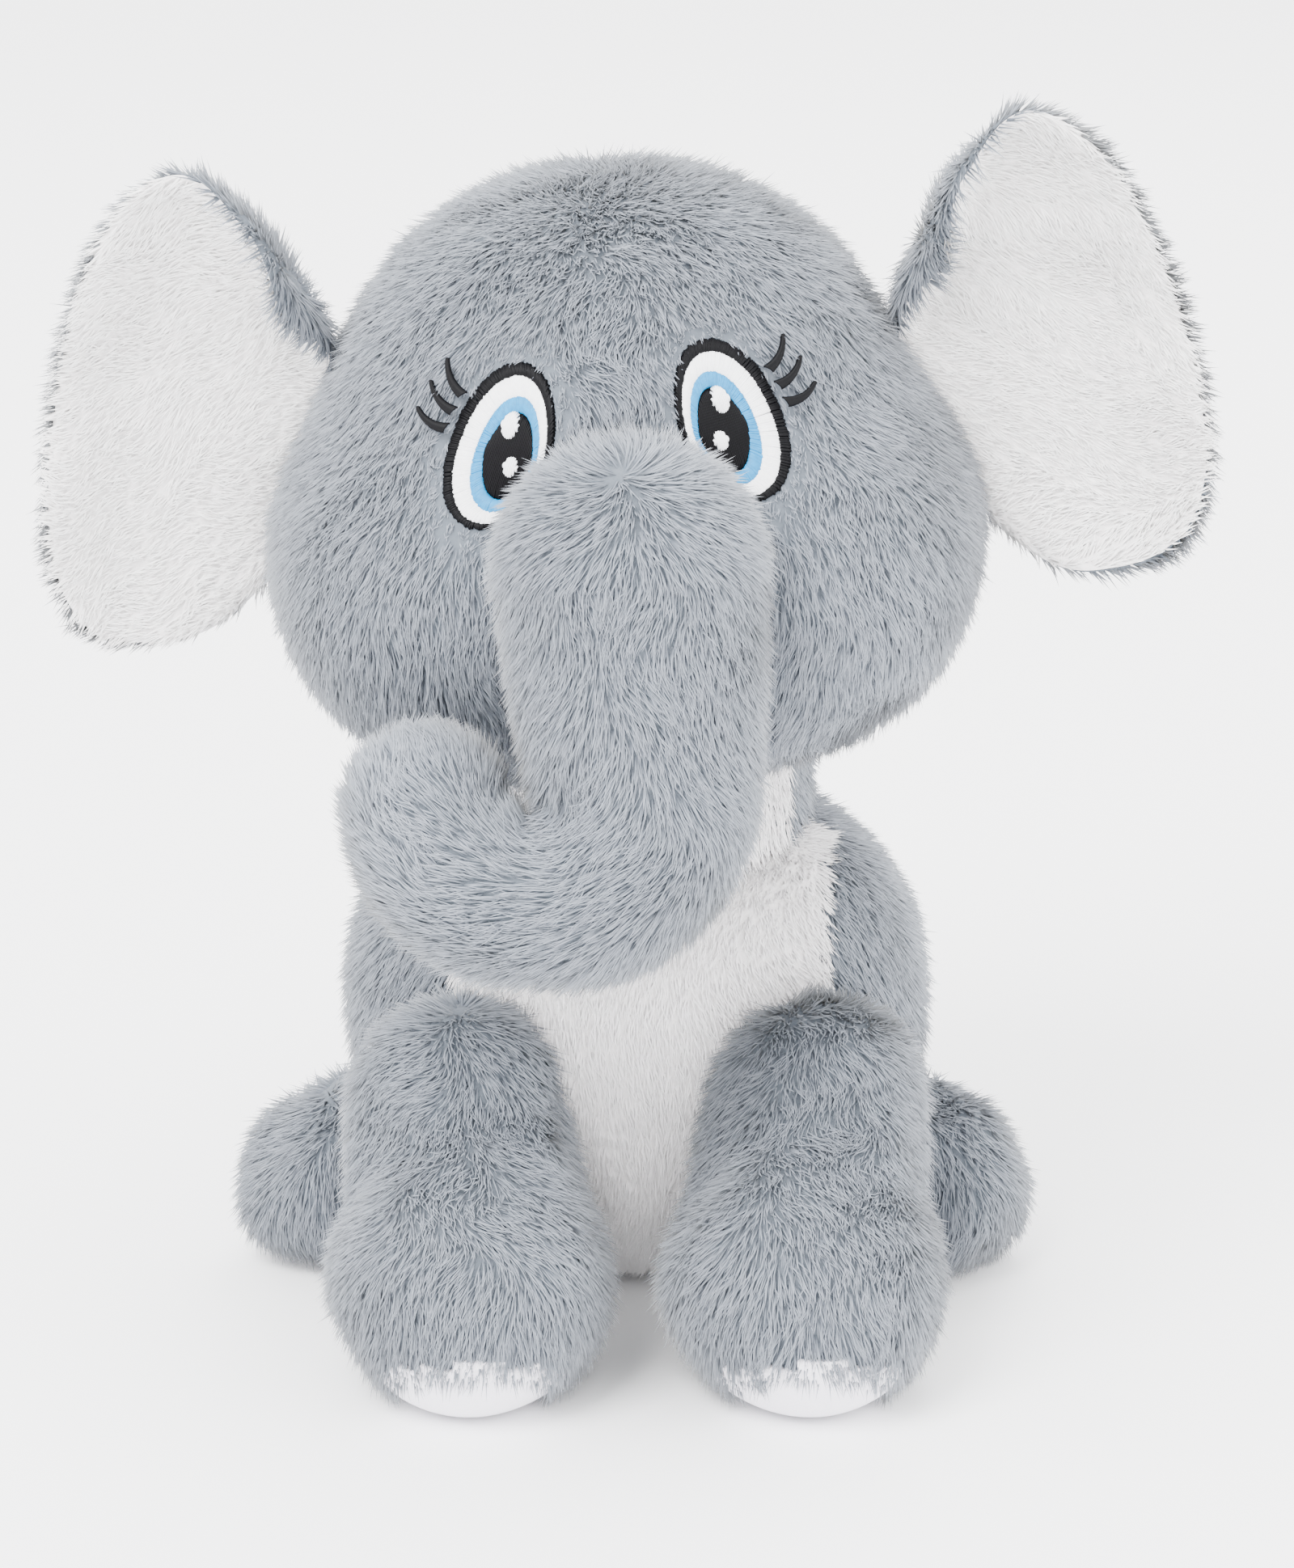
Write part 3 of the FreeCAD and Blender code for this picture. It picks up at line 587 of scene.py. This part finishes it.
def trunk_skin(name, material, rings=120, around=72):
    """A tube round the centreline, closed by a half ball at each end."""
    dome = np.linspace(0, np.pi / 2, 14)[:-1]
    first, last = trunk_radius(0.0), trunk_radius(run)
    walked = np.concatenate([-first * np.cos(dome), np.linspace(0, run, rings),
                             run + last * np.sin(np.pi / 2 - dome[::-1])])
    wide = np.concatenate([first * np.sin(dome), trunk_radius(np.linspace(0, run, rings)),
                           last * np.cos(np.pi / 2 - dome[::-1])])
    walked, wide = walked[1:-1], wide[1:-1]
    inside = np.clip(walked, 0, run)
    centre, ahead, _ = trunk_line(inside)
    centre = centre + ahead * (walked - inside)[:, None]
    across = np.cross(trunk_back, ahead)
    turn = np.linspace(0, 2 * np.pi, around, endpoint=False)
    ringed = (np.cos(turn)[None, :, None] * across[:, None]
              + np.sin(turn)[None, :, None] * trunk_back[None, None])
    # a soft crease where the curl folds against itself
    fold = 1 - 0.10 * np.exp(-((walked - 0.72 * run) / (9 * MM)) ** 2)
    points = centre[:, None] + ringed * (wide * fold)[:, None, None]
    top = trunk_line(0.0)
    end = trunk_line(run)
    poles = (top[0] - top[1] * first, end[0] + end[1] * last)
    points = np.vstack([poles[0][None], points.reshape(-1, 3), poles[1][None]])
    return new_mesh(name, points, globe_faces(len(walked), around), material)


# ---------------------------------------------------------------- torso, neck, legs
torso_middle = (torso_low + torso_high) / 2
tw, td, th = torso_half - SKIN
torso_field = sat(melt([
    egg(torso_middle + (0, 0, -0.12 * th), (tw, td, 0.98 * th)),
    egg(torso_middle + (0, 0, 0.34 * th), (0.95 * tw, 0.88 * td, 0.74 * th)),
], 20 * MM))


def foreleg_field(side):
    """A ball at the shoulder, a shank and a broad foot, melted together and set on the floor."""
    name = "left" if side > 0 else "right"
    shoulder = at(f"{name}_foreleg_swing")
    low, high = span(f"{name}_forefoot_sole", f"{name}_foreleg_inner_panel",
                     f"{name}_foreleg_outer_panel")
    foot = np.array([(low[0] + high[0]) / 2, low[1] + 33 * MM, 24 * MM])
    wide = (high[0] - low[0]) / 2 - SKIN - 1.5 * MM
    shank = capsule(shoulder, foot + (0, 2 * MM, 4 * MM), 23.5 * MM, 24 * MM)
    ball = egg(foot, (wide, 34 * MM - SKIN, 26.5 * MM))
    return sat(melt([shank, ball], 14 * MM), k=7 * MM), (shoulder + foot) / 2, foot


def hindleg_field(side):
    """A round thigh drawn out to a smaller foot."""
    name = "left" if side > 0 else "right"
    hip = at(f"{name}_hindleg_swing")
    low, high = span(f"{name}_hindleg_outer_panel", f"{name}_hindleg_inner_panel")
    front = -1 if side > 0 else -0.45
    foot = np.array([high[0] if side > 0 else low[0], hip[1] + front * 7 * MM, 19 * MM])
    foot[0] -= side * 19 * MM
    form = melt([egg(hip, np.full(3, 25 * MM - SKIN)), egg(foot, (18 * MM, 20 * MM, 18 * MM))], 12 * MM)
    return sat(form), hip + (side * 5 * MM, 0, 0), foot


# ---------------------------------------------------------------- eyes: places on the face
EYE_HALF = np.array([12.8, 18.6]) * MM
EYE_SHIFT = {"left": (4.6, -0.2), "right": (0.6, -3.2)}  # outwards and up
EYE_TILT = math.radians(10)


def on_face(p):
    """Pushes points out along rays from the head's middle until they lie on its skin."""
    rays = unit(p - head_middle)
    low, high = np.zeros(p.shape[:-1]), np.full(p.shape[:-1], 0.2)
    for _ in range(26):
        mid = (low + high) / 2
        inside = head_field(head_middle + rays * mid[..., None]) < 0
        low, high = np.where(inside, mid, low), np.where(inside, high, mid)
    return head_middle + rays * low[..., None]


class Eye:
    """An eye's place: x runs from the nose outwards, y up along the tilted oval."""

    def __init__(self, name, side):
        self.name, self.side = name, side
        low, high = span(f"{name}_eye_outline")
        across, up = EYE_SHIFT[name]
        moved = (low + high) / 2 + np.array([side * across, 0, up]) * MM
        self.centre = on_face(moved[None])[0]
        step = 4 * MM
        rough = unit(self.centre - head_middle)
        across = unit(np.cross([0, 0, 1.0], rough)) * -1
        up = np.cross(rough, -across)
        corners = on_face(self.centre + np.array([across, -across, up, -up]) * step)
        x, y = unit(corners[0] - corners[1]), unit(corners[2] - corners[3])
        self.out = unit(np.cross(x, y))
        self.out = self.out if self.out @ rough > 0 else -self.out
        x = x if x[0] * side > 0 else -x
        tilt = EYE_TILT
        self.x = x * math.cos(tilt) + y * math.sin(tilt)
        self.y = y * math.cos(tilt) - x * math.sin(tilt)
        self.y = self.y if self.y[2] > 0 else -self.y

    def on_skin(self, xy, lift):
        """Eye coordinates laid on the face and lifted off it."""
        flat = self.centre + xy[..., :1] * self.x + xy[..., 1:] * self.y
        return on_face(flat) + self.out * lift[..., None]

    def oval(self, p):
        """How far out a point lies, one being the outline's edge."""
        q = p - self.centre
        xy = np.stack([q @ self.x, q @ self.y], -1)
        behind = q @ self.out < -20 * MM
        return np.where(behind, 9.0, np.linalg.norm(xy / EYE_HALF, axis=-1))


EYES = [Eye(name, side) for name, side in SIDES]
THREAD = 0.34 * MM


def stitches(name, eye, starts, ends, material, body, nodes, lift, plump=0.5 * MM):
    """Satin stitches: each a low rounded bar that dives under the cloth at both ends."""
    steps = np.array([0.0, 0.12, 0.5, 0.88, 1.0])
    rise = np.array([-0.5, 0.62, 1.0, 0.62, -0.5]) * plump
    count = len(starts)
    path = starts[:, None] + (ends - starts)[:, None] * steps[None, :, None]
    centre = eye.on_skin(path, lift[:, None] + rise[None])
    ahead = unit(np.gradient(centre, axis=1))
    side = unit(np.cross(ahead, eye.out))
    up = np.cross(side, ahead)
    ring = [(1, 0), (0, 0.8), (-1, 0), (0, -0.8)]
    corner = np.stack([centre + THREAD * (a * side + b * up) for a, b in ring], 2)
    points = corner.reshape(-1, 3)
    bar = []
    for s in range(4):
        for k in range(4):
            m = (k + 1) % 4
            bar.append((4 * s + k, 4 * s + m, 4 * s + 4 + m, 4 * s + 4 + k))
    bar += [(3, 2, 1, 0), (16, 17, 18, 19)]
    faces = [tuple(i + 20 * n for i in f) for n in range(count) for f in bar]
    made = new_mesh(name, points, faces, material)
    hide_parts(*nodes)
    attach(made, body)
    return made


def ellipse(angle, wide, high, inward, down):
    """Points of an oval: its half sizes as shares of the eye's, its centre moved in and down."""
    return np.stack([
        EYE_HALF[0] * wide * np.cos(angle) - inward, EYE_HALF[1] * high * np.sin(angle) - down
    ], -1)


RINGS = {  # shares of the eye's half sizes, shift towards the nose and down
    "outline": ((1, 1, 0, 0), (0.84, 0.885, 0.8 * MM, 0.9 * MM)),
    "white": ((0.86, 0.90, 0.7 * MM, 0.8 * MM), (0.60, 0.68, 2.2 * MM, 1.7 * MM)),
    "iris": ((0.63, 0.71, 2.1 * MM, 1.6 * MM), (0.44, 0.53, 2.7 * MM, 1.9 * MM)),
}
PUPIL = (0.47, 0.56, 2.7 * MM, 1.9 * MM)
GLINTS = ((0.16, 0.18, 1.2 * MM, -4.6 * MM), (0.13, 0.14, 4.2 * MM, 4.0 * MM))


def sew_eye(eye, draw):
    """Rings of radial stitches round a pupil of upright ones, glints and curved lashes."""
    for level, (label, (outer, inner)) in enumerate(RINGS.items()):
        count = {"outline": 260, "white": 230, "iris": 170}[label]
        angle = np.linspace(0, 2 * np.pi, count, endpoint=False) + draw.normal(0, 0.006, count)
        ends = ellipse(angle, *outer) * (1 + draw.normal(0, 0.008, count))[:, None]
        starts = ellipse(angle + 0.05, *inner)
        lift = 0.25 * MM + draw.uniform(0, 0.12 * MM, count) + level * 0.08 * MM
        stitches(f"{eye.name}_eye_{label}", eye, starts, ends, THREADS[label], "head",
                 [f"{eye.name}_eye_{label}"], lift)
    fill_oval(eye, "pupil", [PUPIL], "pupil", 0.42 * MM, draw)
    fill_oval(eye, "glints", GLINTS, "white", 1.0 * MM, draw)
    starts, ends, lifts = [], [], []
    for rise, angle in ((8.0, 18.0), (4.0, 4.0), (0.0, -12.0)):
        edge = EYE_HALF[0] * math.sqrt(1 - (rise * MM / EYE_HALF[1]) ** 2)
        walk = np.linspace(0, 1, 44)
        sweep = np.radians(angle) + walk * 0.9
        x = edge + np.cumsum(np.cos(sweep)) * 10 * MM / 44
        y = rise * MM + np.cumsum(np.sin(sweep)) * 10 * MM / 44
        spine = np.stack([x, y], -1)
        across = np.stack([-np.sin(sweep + 0.5), np.cos(sweep + 0.5)], -1)
        half = (1.2 - 0.85 * walk)[:, None] * MM
        starts.append(spine - across * half)
        ends.append(spine + across * half)
        lifts.append(np.full(44, 3.6 * MM))
    stitches(f"{eye.name}_eyelashes", eye, np.vstack(starts), np.vstack(ends), THREADS["outline"],
             "head", [f"{eye.name}_eyelashes"], np.concatenate(lifts))


def fill_oval(eye, label, ovals, thread, lift, draw):
    """Upright stitches side by side that fill ovals."""
    starts, ends = [], []
    for wide, high, inward, down in ovals:
        count = max(int(2 * EYE_HALF[0] * wide / (0.42 * MM)), 5)
        share = np.linspace(-0.97, 0.97, count)
        x = EYE_HALF[0] * wide * share - inward
        half = EYE_HALF[1] * high * np.sqrt(1 - share ** 2) * (1 + draw.normal(0, 0.02, count))
        starts.append(np.stack([x, -down - half], -1))
        ends.append(np.stack([x, -down + half], -1))
    starts, ends = np.vstack(starts), np.vstack(ends)
    stitches(f"{eye.name}_eye_{label}", eye, starts, ends, THREADS[thread], "head",
             [f"{eye.name}_eye_{label}"], np.full(len(starts), lift), plump=0.8 * MM)


# ---------------------------------------------------------------- ears
def ear_frame(name, side):
    """The ear's root and axes: outward, backward, up the root."""
    joint = JOINTS[f"{name}_ear_flap"]
    up = np.array(joint["axis"])
    out = np.array([float(side), 0, 0])
    out = unit(out - up * (out @ up))
    yaw = math.radians(8)
    forward = np.array([0, -1.0, 0])
    out = unit(out * math.cos(yaw) + forward * math.sin(yaw))
    return np.array(joint["pos_m"]), out, unit(np.cross(up, out)) * side, up


EAR_CUP = 110 * MM
EAR_WIDE, EAR_TALL = 32 * MM, 55 * MM
EAR_OUT, EAR_RISE = {"left": 24.5 * MM, "right": 20 * MM}, 8.5 * MM
EAR_ROLL = 2.7  # radians the upper inner edge is rolled forward


def ear_outline(turn):
    """The rim from the ear's middle: a superellipse drawn in towards the head."""
    power = 2 / 2.5
    x = np.sign(np.cos(turn)) * np.abs(np.cos(turn)) ** power
    z = np.sign(np.sin(turn)) * np.abs(np.sin(turn)) ** power
    return x * (1 + 0.05 * z) * EAR_WIDE, z * (1 + 0.13 * x) * EAR_TALL


def ear_point(name, side, rho, turn, offset):
    """A point of the ear's cushion, offset from its middle sheet.

    rho walks from the middle to the rim. The sheet lies on a sphere whose hollow opens
    forward; along the upper inner edge its outer part winds round a small roll.
    """
    root, out, back, up = ear_frame(name, side)
    x, z = ear_outline(turn)
    far = np.hypot(x, z)
    rolled = np.clip(np.cos((turn - 2.15) * 1.35), 0, 1) * (np.abs(turn - 2.15) < 1.16)
    if side > 0:
        rolled = np.maximum(rolled, 0.5 * np.clip(np.cos((turn - 5.0) * 1.7), 0, 1)
                            * (np.abs(turn - 5.0) < 0.92))
    start = 1 - 0.44 * rolled
    wound = np.clip(rho - start, 0, None) / np.maximum(1 - start, 1e-6)
    angle = EAR_ROLL * rolled * wound
    roller = 0.44 * far / EAR_ROLL
    along = np.minimum(rho, start) * far + roller * np.sin(angle) + offset * np.sin(angle)
    u, w = along * x / far, along * z / far
    hollow = np.sqrt(EAR_CUP ** 2 - u ** 2 - w ** 2) - math.sqrt(EAR_CUP ** 2 - EAR_WIDE ** 2)
    folds = 1.7 * MM * np.sin(u / (8 * MM) + w / (15 * MM)) * np.cos(w / (13 * MM) - u / (20 * MM)) * rho
    behind = hollow + folds - roller * (1 - np.cos(angle)) + offset * np.cos(angle)
    place = (EAR_OUT[name] + u, behind, EAR_RISE + w)
    return root + place[0][..., None] * out + place[1][..., None] * back + place[2][..., None] * up


def ear_lens(name, side, behind, material, rings=44, around=160):
    """Half an ear's cushion: its plump outer face first, then its inner one."""
    rho = np.linspace(0, 1, rings)[1:, None]
    turn = np.linspace(0, 2 * np.pi, around, endpoint=False)[None, :]
    sign = 1 if behind else -1
    plump = sign * (np.sqrt(1 - rho ** 2) ** 0.8 * 4.0 + 0.3) * MM + 0 * turn
    outer = ear_point(name, side, rho, turn, plump)
    inner = ear_point(name, side, rho[::-1], turn, np.full_like(plump, sign * 0.1 * MM))
    start = np.zeros((1, 1))
    poles = [ear_point(name, side, start, start, np.full((1, 1), sign * depth * MM)).reshape(1, 3)
             for depth in (4.3, 0.1)]
    points = np.vstack([poles[0], outer.reshape(-1, 3), inner.reshape(-1, 3), poles[1]])
    made = new_mesh(f"{name}_ear_{'back' if behind else 'front'}_skin", points,
                    globe_faces(2 * len(rho), around), material)
    return made, 1 + len(rho) * around


def build_ears():
    """Grey backs, white cupped fronts, and their pile, which runs out to the rim."""
    for name, side in SIDES:
        body = f"{name}_ear"
        nodes = [f"{name}_ear_front", f"{name}_ear_back", f"{name}_ear_wadding"]
        out, up = ear_frame(name, side)[1], ear_frame(name, side)[3]
        for behind, backing, fibre, slot in (
            (True, GREY_BACKING, GREY_PILE, "grey_plush"),
            (False, WHITE_BACKING, WHITE_PILE, "white_plush"),
        ):
            skin, face = ear_lens(name, side, behind, backing)
            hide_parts(*nodes)
            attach(skin, body)
            flow = out * 0.8 - up * (0.7 if behind else 0.45)
            pile(f"{name}_ear_{'back' if behind else 'front'}_pile", [skin], fibre, slot, on(body),
                 density=1.8, length=6.5 * MM if behind else 5 * MM,
                 comb=lambda p, flow=flow: np.broadcast_to(flow, p.shape),
                 keep=away_from(head_field), seed=31 + side + 5 * behind, clump=0.45, limit=face)


def away_from(*shapes):
    """Holds for points that lie outside every given form."""
    return lambda p: np.all([shape(p) > 0.5 * MM for shape in shapes], axis=0)


def build_head():
    skin = blown("head_skin", head_middle, head_field, GREY_BACKING, lump=0)
    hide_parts("head_gusset", "chin_panel", "nape_panel", "left_head_panel",
                "right_head_panel", "head_filling")
    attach(skin, "head")
    crown = head_middle + head_frame @ np.array([0, -0.2 * hd, 0.9 * hh])
    whorl = trunk_root + np.array([0, -30 * MM, 34 * MM])

    def comb(p):
        """Down and outwards from the crown; between the eyes towards the trunk."""
        q = from_head(p)
        down = unit(p - crown) * 0.35 + np.array([0, -0.65, -0.9])
        strip = np.exp(-(q[..., :1] / gusset_half) ** 2) * (q[..., 1:2] < 0)
        towards = unit(whorl - p)
        return down * (1 - strip) + towards * strip

    def keep(p):
        clear = away_from(trunk_field)(p)
        for eye in EYES:
            clear &= eye.oval(p) > 1.035
        return clear & (torso_field(p) > 2 * MM)

    def shorten(p):
        rim = np.min([eye.oval(p) for eye in EYES], axis=0)
        return np.clip((rim - 1) * 1.8, 0.35, 1)

    pile("head_pile", [skin], GREY_PILE, "grey_plush", on("head"), density=1.8,
         length=7.5 * MM, comb=comb, keep=keep, seed=11, shorten=shorten)


neck_field = capsule((0, neck[1] + 2 * MM, neck[2] - 22 * MM), (0, neck[1] + 2 * MM, neck[2] + 22 * MM),
                     38 * MM, 42 * MM)


def build_neck():
    """A short round neck that joins the head to the shoulders."""
    skin = blown("neck_skin", neck, neck_field, GREY_BACKING, 60, 100)
    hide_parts("neck_filling")
    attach(skin, "neck")
    clear = away_from(head_field, torso_field, trunk_field)
    for name, fibre, slot, white in (("neck_pile", GREY_PILE, "grey_plush", False),
                                     ("neck_bib_nap", BELLY_PILE, "white_short_plush", True)):
        pile(name, [skin], fibre, slot, on("neck"), density=1.9, length=6 * MM, seed=13 + white,
             comb=lambda p: np.array([0, -0.2, -1.0]) + unit(p - neck) * 0.2,
             keep=lambda p, white=white: clear(p) & (((p[:, 1] < neck[1]) &
                                                      (np.abs(p[:, 0]) < 0.8 * bib_half)) == white))


def build_trunk():
    skin = trunk_skin("trunk_skin", GREY_BACKING)
    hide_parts("trunk_base_skin", "trunk_base_filling", "trunk_tip_skin",
                "trunk_tip_filling")
    bend = at("trunk_uncurl")
    ahead = trunk_line(drop + BEND * JOINT_TURN)[1]

    def comb(p):
        """Along the trunk towards its tip, fanning out at the dome above the root."""
        near = np.argmin(np.linalg.norm(p[:, None] - trunk_samples[None], axis=-1), axis=1)
        flow = trunk_line(trunk_steps[near])[1]
        dome = (near == 0)[:, None]
        spread = unit(p - (trunk_root + np.array([0, -24, 30]) * MM))
        return np.where(dome, spread + 0.5 * flow, flow)

    def rides(piece):
        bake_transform(piece)

    pile("trunk_pile", [skin], GREY_PILE, "grey_plush", rides, density=1.9, length=7.5 * MM,
         comb=comb, keep=away_from(head_field), seed=17)
    rides(skin)


def build_torso():
    skin = blown("torso_skin", torso_middle, torso_field, GREY_BACKING, 80, 140)
    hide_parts("belly_panel", "back_panel", "left_flank_panel", "right_flank_panel",
                "seat_panel", "torso_filling", "pellet_bag")
    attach(skin, "torso")
    legs = [foreleg_field(side)[0] for _, side in SIDES] + [hindleg_field(side)[0] for _, side in SIDES]
    clear = away_from(*legs)

    def bib(p):
        """The belly patch: as wide as its panel, on the front, rounded in below."""
        edge = bib_half * np.clip((p[..., 2] - torso_low[2] + 8 * MM) / (45 * MM), 0.3, 1) ** 0.5
        return (np.abs(p[..., 0]) < edge) & (p[..., 1] < torso_middle[1] - 12 * MM)

    def hidden(p):
        return (head_field(p) < -1 * MM) | (p[..., 2] < 1.5 * MM)

    def comb(p):
        return np.array([0, -0.15, -1.0]) + unit(p - torso_middle) * 0.3

    pile("torso_pile", [skin], GREY_PILE, "grey_plush", on("torso"), density=1.5,
         length=7.5 * MM, comb=comb, keep=lambda p: clear(p) & ~bib(p) & ~hidden(p), seed=23)
    patch_skin = patch("belly_skin", skin, bib, WHITE_BACKING, 0.4 * MM)
    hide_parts("belly_panel")
    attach(patch_skin, "torso")
    pile("belly_nap", [skin], BELLY_PILE, "white_short_plush", on("torso"), density=2.2,
         length=5 * MM, comb=comb, keep=lambda p: clear(p) & bib(p) & ~hidden(p), seed=29,
         width=0.36 * MM, clump=0.4)


def build_legs():
    for name, side in SIDES:
        field, middle, foot = foreleg_field(side)
        limb(f"{name}_foreleg", f"{name}_forefoot", field, middle, foot,
             [f"{name}_foreleg_inner_panel", f"{name}_foreleg_outer_panel",
              f"{name}_foreleg_filling", f"{name}_forefoot_sole"],
             fore_sole(foot), 41 + side)
        field, middle, foot = hindleg_field(side)
        limb(f"{name}_hindleg", f"{name}_hindfoot", field, middle, foot,
             [f"{name}_hindleg_inner_panel", f"{name}_hindleg_outer_panel",
              f"{name}_hindleg_filling", f"{name}_hindfoot_sole"],
             lambda p, foot=foot: (p[..., 2] < 5 * MM), 47 + side)


def fore_sole(foot):
    """The sole covers the underside and rises at the front as a crescent."""
    def inside(p):
        rise = 5 * MM + np.clip((foot[1] - 4 * MM - p[..., 1]) / (26 * MM), 0, 1) * 15 * MM
        return (p[..., 2] < rise) & (np.abs(p[..., 0] - foot[0]) < 26 * MM)
    return inside


def limb(body, sole_name, field, middle, foot, nodes, sole, seed):
    skin = blown(f"{body}_skin", middle, field, GREY_BACKING, 64, 110)
    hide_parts(*nodes)
    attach(skin, body)
    pad = patch(f"{sole_name}_pad", skin, sole, SOLE, 1.6 * MM)
    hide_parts(f"{sole_name}_sole")
    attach(pad, body)

    def comb(p):
        return np.array([0, -0.6, -1.0]) + unit(p - foot) * 0.3

    def keep(p):
        over_edge = p + np.array([0, 0, 2.5 * MM])
        return ~sole(over_edge) & (torso_field(p) > 1 * MM) & (p[..., 2] > 1.5 * MM)

    pile(f"{body}_pile", [skin], GREY_PILE, "grey_plush", on(body), density=1.7,
         length=7.5 * MM, comb=comb, keep=keep, seed=seed)


def build_tail():
    """A thin cord of plush with a tuft at its end."""
    root = at("tail_wag")
    low, high = span("tail_cord", "tail_tuft")
    tip = np.array([root[0], high[1] - 8 * MM, low[2] + 9 * MM])
    field = melt([capsule(root, tip, 6 * MM, 4 * MM),
                  egg(tip, (6.5 * MM, 6.5 * MM, 8 * MM))], 4 * MM)
    skin = blown("tail_skin", root * 0.35 + tip * 0.65, field, GREY_BACKING, 40, 60)
    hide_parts("tail_cord", "tail_tuft")
    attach(skin, "tail")
    run = unit(tip - root)
    pile("tail_pile", [skin], GREY_PILE, "grey_plush", on("tail"), density=1.4,
         length=5.5 * MM, comb=lambda p: np.broadcast_to(run, p.shape),
         keep=away_from(torso_field), seed=53)


build_head()
build_neck()
build_trunk()
build_ears()
build_torso()
build_legs()
build_tail()
for number, eye in enumerate(EYES):
    sew_eye(eye, np.random.default_rng(61 + number))


# ---------------------------------------------------------------- studio
def area_light(name, place, target, size, watts):
    lamp = bpy.data.lights.new(name, "AREA")
    lamp.size, lamp.energy = size, watts
    made = bpy.data.objects.new(name, lamp)
    made.location = place
    made.rotation_euler = (Vector(target) - Vector(place)).to_track_quat("-Z", "Y").to_euler()
    bpy.context.scene.collection.objects.link(made)
    return made


def studio():
    """A pale floor, a white surround, a large soft lamp above and gentler ones beside."""
    floor_finish = Finish("studio_floor", Roughness=0.9)
    shade = floor_finish.node("ShaderNodeTexNoise", Vector=floor_finish.place(), Scale=2.0)
    floor_finish.feed("Base Color", floor_finish.mix(shade, (0.92, 0.92, 0.93, 1),
                                                     (0.95, 0.95, 0.96, 1)))
    wide = 6.0
    corners = np.array([[-wide, -wide, 0], [wide, -wide, 0], [wide, wide, 0], [-wide, wide, 0]])
    ground = new_mesh("studio_ground", corners, [(0, 1, 2, 3)], floor_finish.material)
    world = bpy.data.worlds.new("studio_world")
    world.use_nodes = True
    sky = world.node_tree.nodes["Background"]
    sky.inputs["Color"].default_value = (1, 1, 1, 1)
    sky.inputs["Strength"].default_value = 4.2
    bpy.context.scene.world = world
    middle = (0, -0.03, 0.14)
    area_light("key", (-0.7, -1.1, 1.5), middle, 0.9, 75)
    area_light("fill", (1.3, -0.9, 0.8), middle, 1.2, 15)
    area_light("rim", (0.3, 1.3, 1.3), middle, 0.9, 20)


def camera():
    """Seen from the front, seventeen degrees above level."""
    lens = bpy.data.cameras.new("view")
    lens.sensor_fit, lens.sensor_width, lens.lens = "HORIZONTAL", 36, 161
    made = bpy.data.objects.new("view", lens)
    tilt = math.radians(17)
    aim = Vector((0.0019, -0.020, 0.150)) - 0.0252 * Vector((0, math.sin(tilt), math.cos(tilt)))
    made.location = aim + 1.35 * Vector((0, -math.cos(tilt), math.sin(tilt)))
    made.rotation_euler = (math.pi / 2 - tilt, 0, 0)
    bpy.context.scene.collection.objects.link(made)
    bpy.context.scene.camera = made


studio()
camera()
